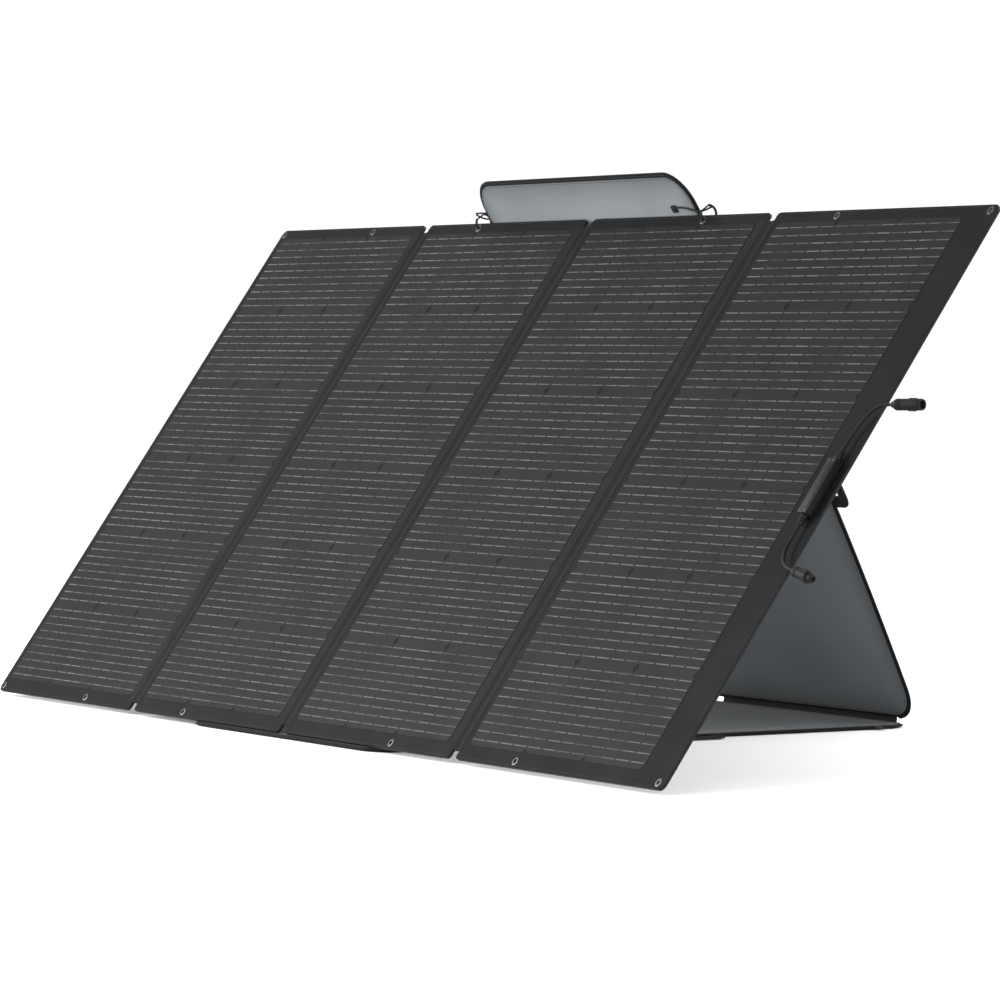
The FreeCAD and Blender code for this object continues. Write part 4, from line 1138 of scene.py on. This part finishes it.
@dataclass
class Lead:
    """Insulated lead from a gland to its plug, with the plug on its end."""

    name: str
    points: tuple[Point, ...]
    length: float
    gland: str
    plug: str
    socket: bool
    diameter: float = 5.0
    shell: float = 8.8
    window: tuple[float, float] = (15.0, 8.4)
    body: str = "panel_4"

    def build(self) -> None:
        plug = self.build_plug()
        cable = cord_curve(f"{self.name}_cable", self.points, self.diameter, LEAD)
        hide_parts(self.name)
        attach(cable, self.body)
        row_mm(*self.points[0])

    def build_plug(self) -> Object:
        """Build the plug: ribbed nut, body with two latches, and nose."""
        last, before = Vector(self.points[-1]), Vector(self.points[-2])
        turn = aim((last - before).normalized())
        place = Matrix.Translation(last) @ turn
        bm = bmesh.new()
        rear = [(0.0, 0.0), (3.1, 0.0), (3.6, 0.8), (4.6, 2.6), (5.3, 5.4), (6.6, 7.9), (8.1, 9.7),
                (8.6, 11.0), (8.6, 21.5), (8.1, 22.2), (8.1, 23.6), (9.0, 24.4)]
        if self.socket:
            front = [(9.0, 27.0), (9.0, 36.0), (9.0, 50.0), (9.0, 60.6), (8.3, 62.0), (6.6, 62.0),
                     (6.3, 61.0), (6.3, 46.0), (2.6, 45.6), (2.5, 58.0), (1.5, 58.4), (1.4, 50.0),
                     (0.0, 50.0)]
        else:
            front = [(9.0, 27.0), (9.0, 34.0), (9.0, 46.0), (8.8, 48.8), (8.1, 50.0), (6.4, 50.1),
                     (6.2, 51.4), (5.7, 51.8), (5.7, 53.0), (6.2, 53.4), (6.2, 60.4), (5.4, 62.0),
                     (2.9, 62.0), (2.7, 55.0), (1.2, 54.6), (1.1, 60.4), (0.0, 60.8)]
        shell = turned(bm, rear + front, place, 32)
        self.cut_windows(bm, shell, place.inverted(), 36.0 if self.socket else 34.0)
        add_ribs(bm, 18, place, (8.3, -0.55, 11.4), (9.0, 0.55, 21.0), 0.3)
        if not self.socket:
            add_ribs(bm, 2, place, (5.9, -1.9, 47.0), (6.75, 1.9, 59.5), 0.4, 2)
        return finish_piece(f"{self.plug}_body", bm, PLUG, self.body, [self.plug], 40, row_mm)

    def cut_windows(self, bm: BMesh, verts: Iterable[BMVert], back: Matrix,
                    low: float) -> None:
        """Press the two latch windows into the plug's sides.

        Args:
            bm: the plug's mesh.
            verts: vertices of its turned shell.
            back: row frame to the plug's own frame.
            low: height at which the windows start.
        """
        tall, wide = self.window
        faces = {face for vert in verts for face in vert.link_faces}
        for way in (1, -1):
            window = []
            for face in faces:
                spot = back @ face.calc_center_median()
                outside = math.hypot(spot.x, spot.y) > self.shell
                if outside and low < spot.z < low + tall and spot.x * way > 0 and abs(spot.y) < wide / 2:
                    window.append(face)
            bmesh.ops.inset_region(bm, faces=window, thickness=0.7, depth=-1.1, use_even_offset=True)


def cord_curve(name: str, points: Sequence[Point], diameter: float, finish: Finish) -> Object:
    """Make a round cord on a smooth line.

    Args:
        name: object name.
        points: control points, row-frame millimetres.
        diameter: cord thickness.
        finish: surface finish.

    Returns:
        The curve object.
    """
    data = bpy.data.curves.new(name, "CURVE")
    data.dimensions = "3D"
    data.bevel_depth = diameter / 2 * MM
    data.bevel_resolution = 5
    data.resolution_u = 14
    data.use_fill_caps = True
    line = data.splines.new("NURBS")
    line.points.add(len(points) - 1)
    for control, point in zip(line.points, points):
        control.co = (*row_mm(*point), 1.0)
    line.order_u = 3
    line.use_endpoint_u = True
    data.materials.append(finish.material())
    cord = add_object(name, data)
    return cord


# ------------------------------------------------------------------ clips
@dataclass
class SpringClip:
    """Round wire clip through an eyelet, with its sprung gate and its elastic cord."""

    side: str
    x: float
    panel: str
    cord_points: tuple[Point, ...]
    cord_length: float
    y: float = 83.7
    z: float = 877.9
    radius: float = 15.0
    wire: float = 4.4
    cord_diameter: float = 3.2
    pivot: tuple[float, float] = (71.8167, 884.6097)
    gate_way: Point = (0.0, 0.8192, 0.5736)

    def build(self) -> None:
        """Build the ring, the gate and the cord."""
        tilt = math.radians(TILT)
        v_way = Vector((0, math.cos(tilt), math.sin(tilt)))
        w_way = Vector((0, -math.sin(tilt), math.cos(tilt)))
        centre = Vector((self.x, self.y, self.z))
        first, sweep_deg, count = 105, 290, 56
        turns = [math.radians(first + sweep_deg * k / count) for k in range(count + 1)]
        path = [centre + self.radius * (v_way * math.cos(t) + w_way * math.sin(t)) for t in turns]
        bm = bmesh.new()
        ring = stations_along(path, Vector((1, 0, 0)))
        sweep(bm, oval(self.wire, self.wire, 16), ring)
        for end in (ring[0], ring[-1]):
            bmesh.ops.create_uvsphere(bm, u_segments=16, v_segments=10, radius=self.wire / 2 * 0.98,
                                      matrix=end)
        finish_piece(f"clip_{self.side}_ring", bm, WIRE, self.panel, [f"clip_{self.side}"], 60, row_mm)
        place = Matrix.Translation((self.x, *self.pivot)) @ aim(Vector(self.gate_way).normalized())
        bm = bmesh.new()
        turned(bm, [(0.0, 0.0), (1.1, 0.15), (1.6, 0.8), (1.7, 1.6), (1.35, 2.4), (1.35, 8.8), (1.7, 9.6),
                    (1.7, 10.8), (1.2, 11.6), (0.0, 11.8)], place, 18)
        finish_piece(f"clip_{self.side}_spring_gate", bm, GATE, f"gate_{self.side}",
                     [f"clip_{self.side}_gate"], smooth_deg=60, plane=row_mm)
        cord = cord_curve(f"clip_{self.side}_elastic", self.cord_points, self.cord_diameter, ELASTIC)
        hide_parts(f"clip_cord_{self.side}")
        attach(cord, "lid")
        row_mm(*self.cord_points[0])


@dataclass
class CordPatch:
    """Small webbing patch on the lid that holds the right clip's cord."""

    left: float = 632.3
    right: float = 645.7
    low: float = 986.3
    high: float = 999.7
    top: float = 3.4
    stitch: Point = (1.8, 0.9, 0.4)

    def build(self) -> None:
        """Build the folded patch with its stitched square."""
        bm = bmesh.new()
        low, high = self.low - LID.start, self.high - LID.start
        add_block(bm, (self.left, low, -0.4), (self.right, high, self.top), 1.0, 3)
        rim = 2.0
        seam = rectangle(self.left + rim, low + rim, self.right - rim, high - rim, self.top + 0.05)
        add_stitches(bm, seam, *self.stitch)
        finish_piece("cord_patch_webbing", bm, WEBBING, "lid", ["clip_patch"], plane=LID)


# ------------------------------------------------------------------ studio
# Name, place, width in metres and power in watts.
SOFTBOXES = (("key_softbox", (-3.2, -3.3, 2.0), 2.4, 230), ("fill_softbox", (6.4, -2.2, 0.8), 1.6, 320),
             ("top_softbox", (0.0, -0.5, 5.0), 4.0, 40), ("rear_softbox", (1.0, 5.5, 2.6), 2.5, 260))


@dataclass
class Studio:
    """Floor, lights and camera."""

    place: Point = (7.4235, -4.3884, 0.6843)
    back: Point = (0.8665, -0.4981, 0.0339)
    lens: float = 180.25

    def build(self) -> None:
        """Build the floor, the lights, the world and the camera."""
        bm = bmesh.new()
        bmesh.ops.create_circle(bm, cap_ends=True, segments=64, radius=60.0,
                                matrix=Matrix.Translation((0, 0, -0.0006)))
        to_object("studio_floor", bm, FLOOR)
        for softbox in SOFTBOXES:
            self.light(*softbox)
        world = bpy.data.worlds.new("studio_world")
        world.use_nodes = True
        sky = world.node_tree.nodes["Background"].inputs
        sky["Color"].default_value, sky["Strength"].default_value = (1, 1, 1, 1), 1.05
        bpy.context.scene.world = world
        bpy.context.scene.view_settings.view_transform = "Standard"
        self.camera()

    def light(self, name: str, place: Point, size: float, power: float) -> None:
        """Add a square soft light that looks at the object."""
        data = bpy.data.lights.new(name, "AREA")
        data.size = size
        data.energy = power
        lamp = add_object(name, data)
        lamp.location = place
        lamp.rotation_euler = (Vector(place) - Vector((0, 0, 0.4))).to_track_quat("Z", "Y").to_euler()

    def camera(self) -> None:
        """Add the camera, level and looking a little down."""
        data = bpy.data.cameras.new("camera")
        data.lens = self.lens
        data.sensor_width = 36.0
        back = Vector(self.back).normalized()
        right = UP.cross(back).normalized()
        turn = axes(right, back.cross(right), back)
        camera = add_object("camera", data)
        camera.matrix_world = Matrix.Translation(self.place) @ turn
        bpy.context.scene.camera = camera


PANELS = (Panel(1, 0.0, 571.0, 19.0, (12.0, 369.0)), Panel(2, 571.0, 1150.0, 595.0, (768.0,)),
          Panel(3, 1150.0, 1735.0, 1177.5, (1525.0,)), Panel(4, 1735.0, 2365.0, 1765.0, (1926.0, 2347.0)))
HINGES = (Hinge(571.0, 1, 2), Hinge(1150.0, 2, 3), Hinge(1735.0, 3, 4))
HALVES = (CaseHalf("base", "stand", lambda x, y, h: BASE(x, y, 6.2 + h), OXFORD, LINING, 3.0),
          CaseHalf("lid", "lid", lambda x, y, h: LID(x, LID.start + y, h), OXFORD_LID, LINING_LID, 7.0,
                   fold_y=0.0))
LID_FLAT = LidPlane(bow=0.0, rise=21.0)
HANDLES = (WebbingHandle("base_handle", "base_handle", "stand", lambda x, y, h: BASE(x, y, 6.2 + h), 408.0),
           WebbingHandle("lid_handle", "lid_handle", "lid", lambda x, y, h: LID_FLAT(x, y, h), 411.0))
SLIDERS = (ZipSlider("zip_slider_right", "slider_right", 319.9, 1.0),
           ZipSlider("zip_slider_left", "slider_left", -387.9, -1.0))
LEADS = (Lead("lead_upper", ((1155, -190.7, 503.6), (1155, -178.1, 521.7), (1160, -165.1, 541.9),
                             (1172, -152.6, 561.2), (1188, -143.6, 572.6), (1207.5, -138.6, 572.8)),
              113.3, "gland_upper", "plug_upper", True),
         Lead("lead_lower", ((1155, -268.7, 392.2), (1155, -280.2, 375.8), (1156.5, -293.8, 358.5),
                             (1167.5, -306.2, 342.2), (1185, -313.4, 331.9), (1205, -314.4, 328.4)),
              106.2, "gland_lower", "plug_lower", False))
CLIPS = (SpringClip("left", -414.5, "panel_2",
                    ((-388, 74.9, 894.2), (-405, 74.9, 894.2), (-418, 74.4, 894.4), (-428, 75.1, 894.1),
                     (-435.3, 81.6, 891.2), (-435.8, 91.0, 887.1), (-428.5, 97.3, 884.3),
                     (-418.5, 97.3, 884.3)), 78.7),
         SpringClip("right", 342.5, "panel_3",
                    ((258, 71.4, 890.2), (275, 71.4, 890.2), (293, 71.7, 888.1), (310, 73.2, 884.9),
                     (324, 76.5, 882.7), (332.5, 82.6, 884.1), (338.5, 92.3, 890.2)), 90.1))


def main() -> None:
    """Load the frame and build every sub-assembly."""
    logging.basicConfig(level=logging.INFO, format="%(name)s: %(message)s")
    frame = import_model()
    Studio().build()
    JunctionBox().build()
    for group in (LEADS, CLIPS):
        for item in group:
            item.build()
    CordPatch().build()
    for panel in PANELS:
        panel.dress(frame)
        panel.build()
    for group in (HINGES, HALVES, HANDLES, SLIDERS):
        for item in group:
            item.build()
    Spine().build()
    bpy.context.view_layer.update()


if __name__ == "__main__":
    main()
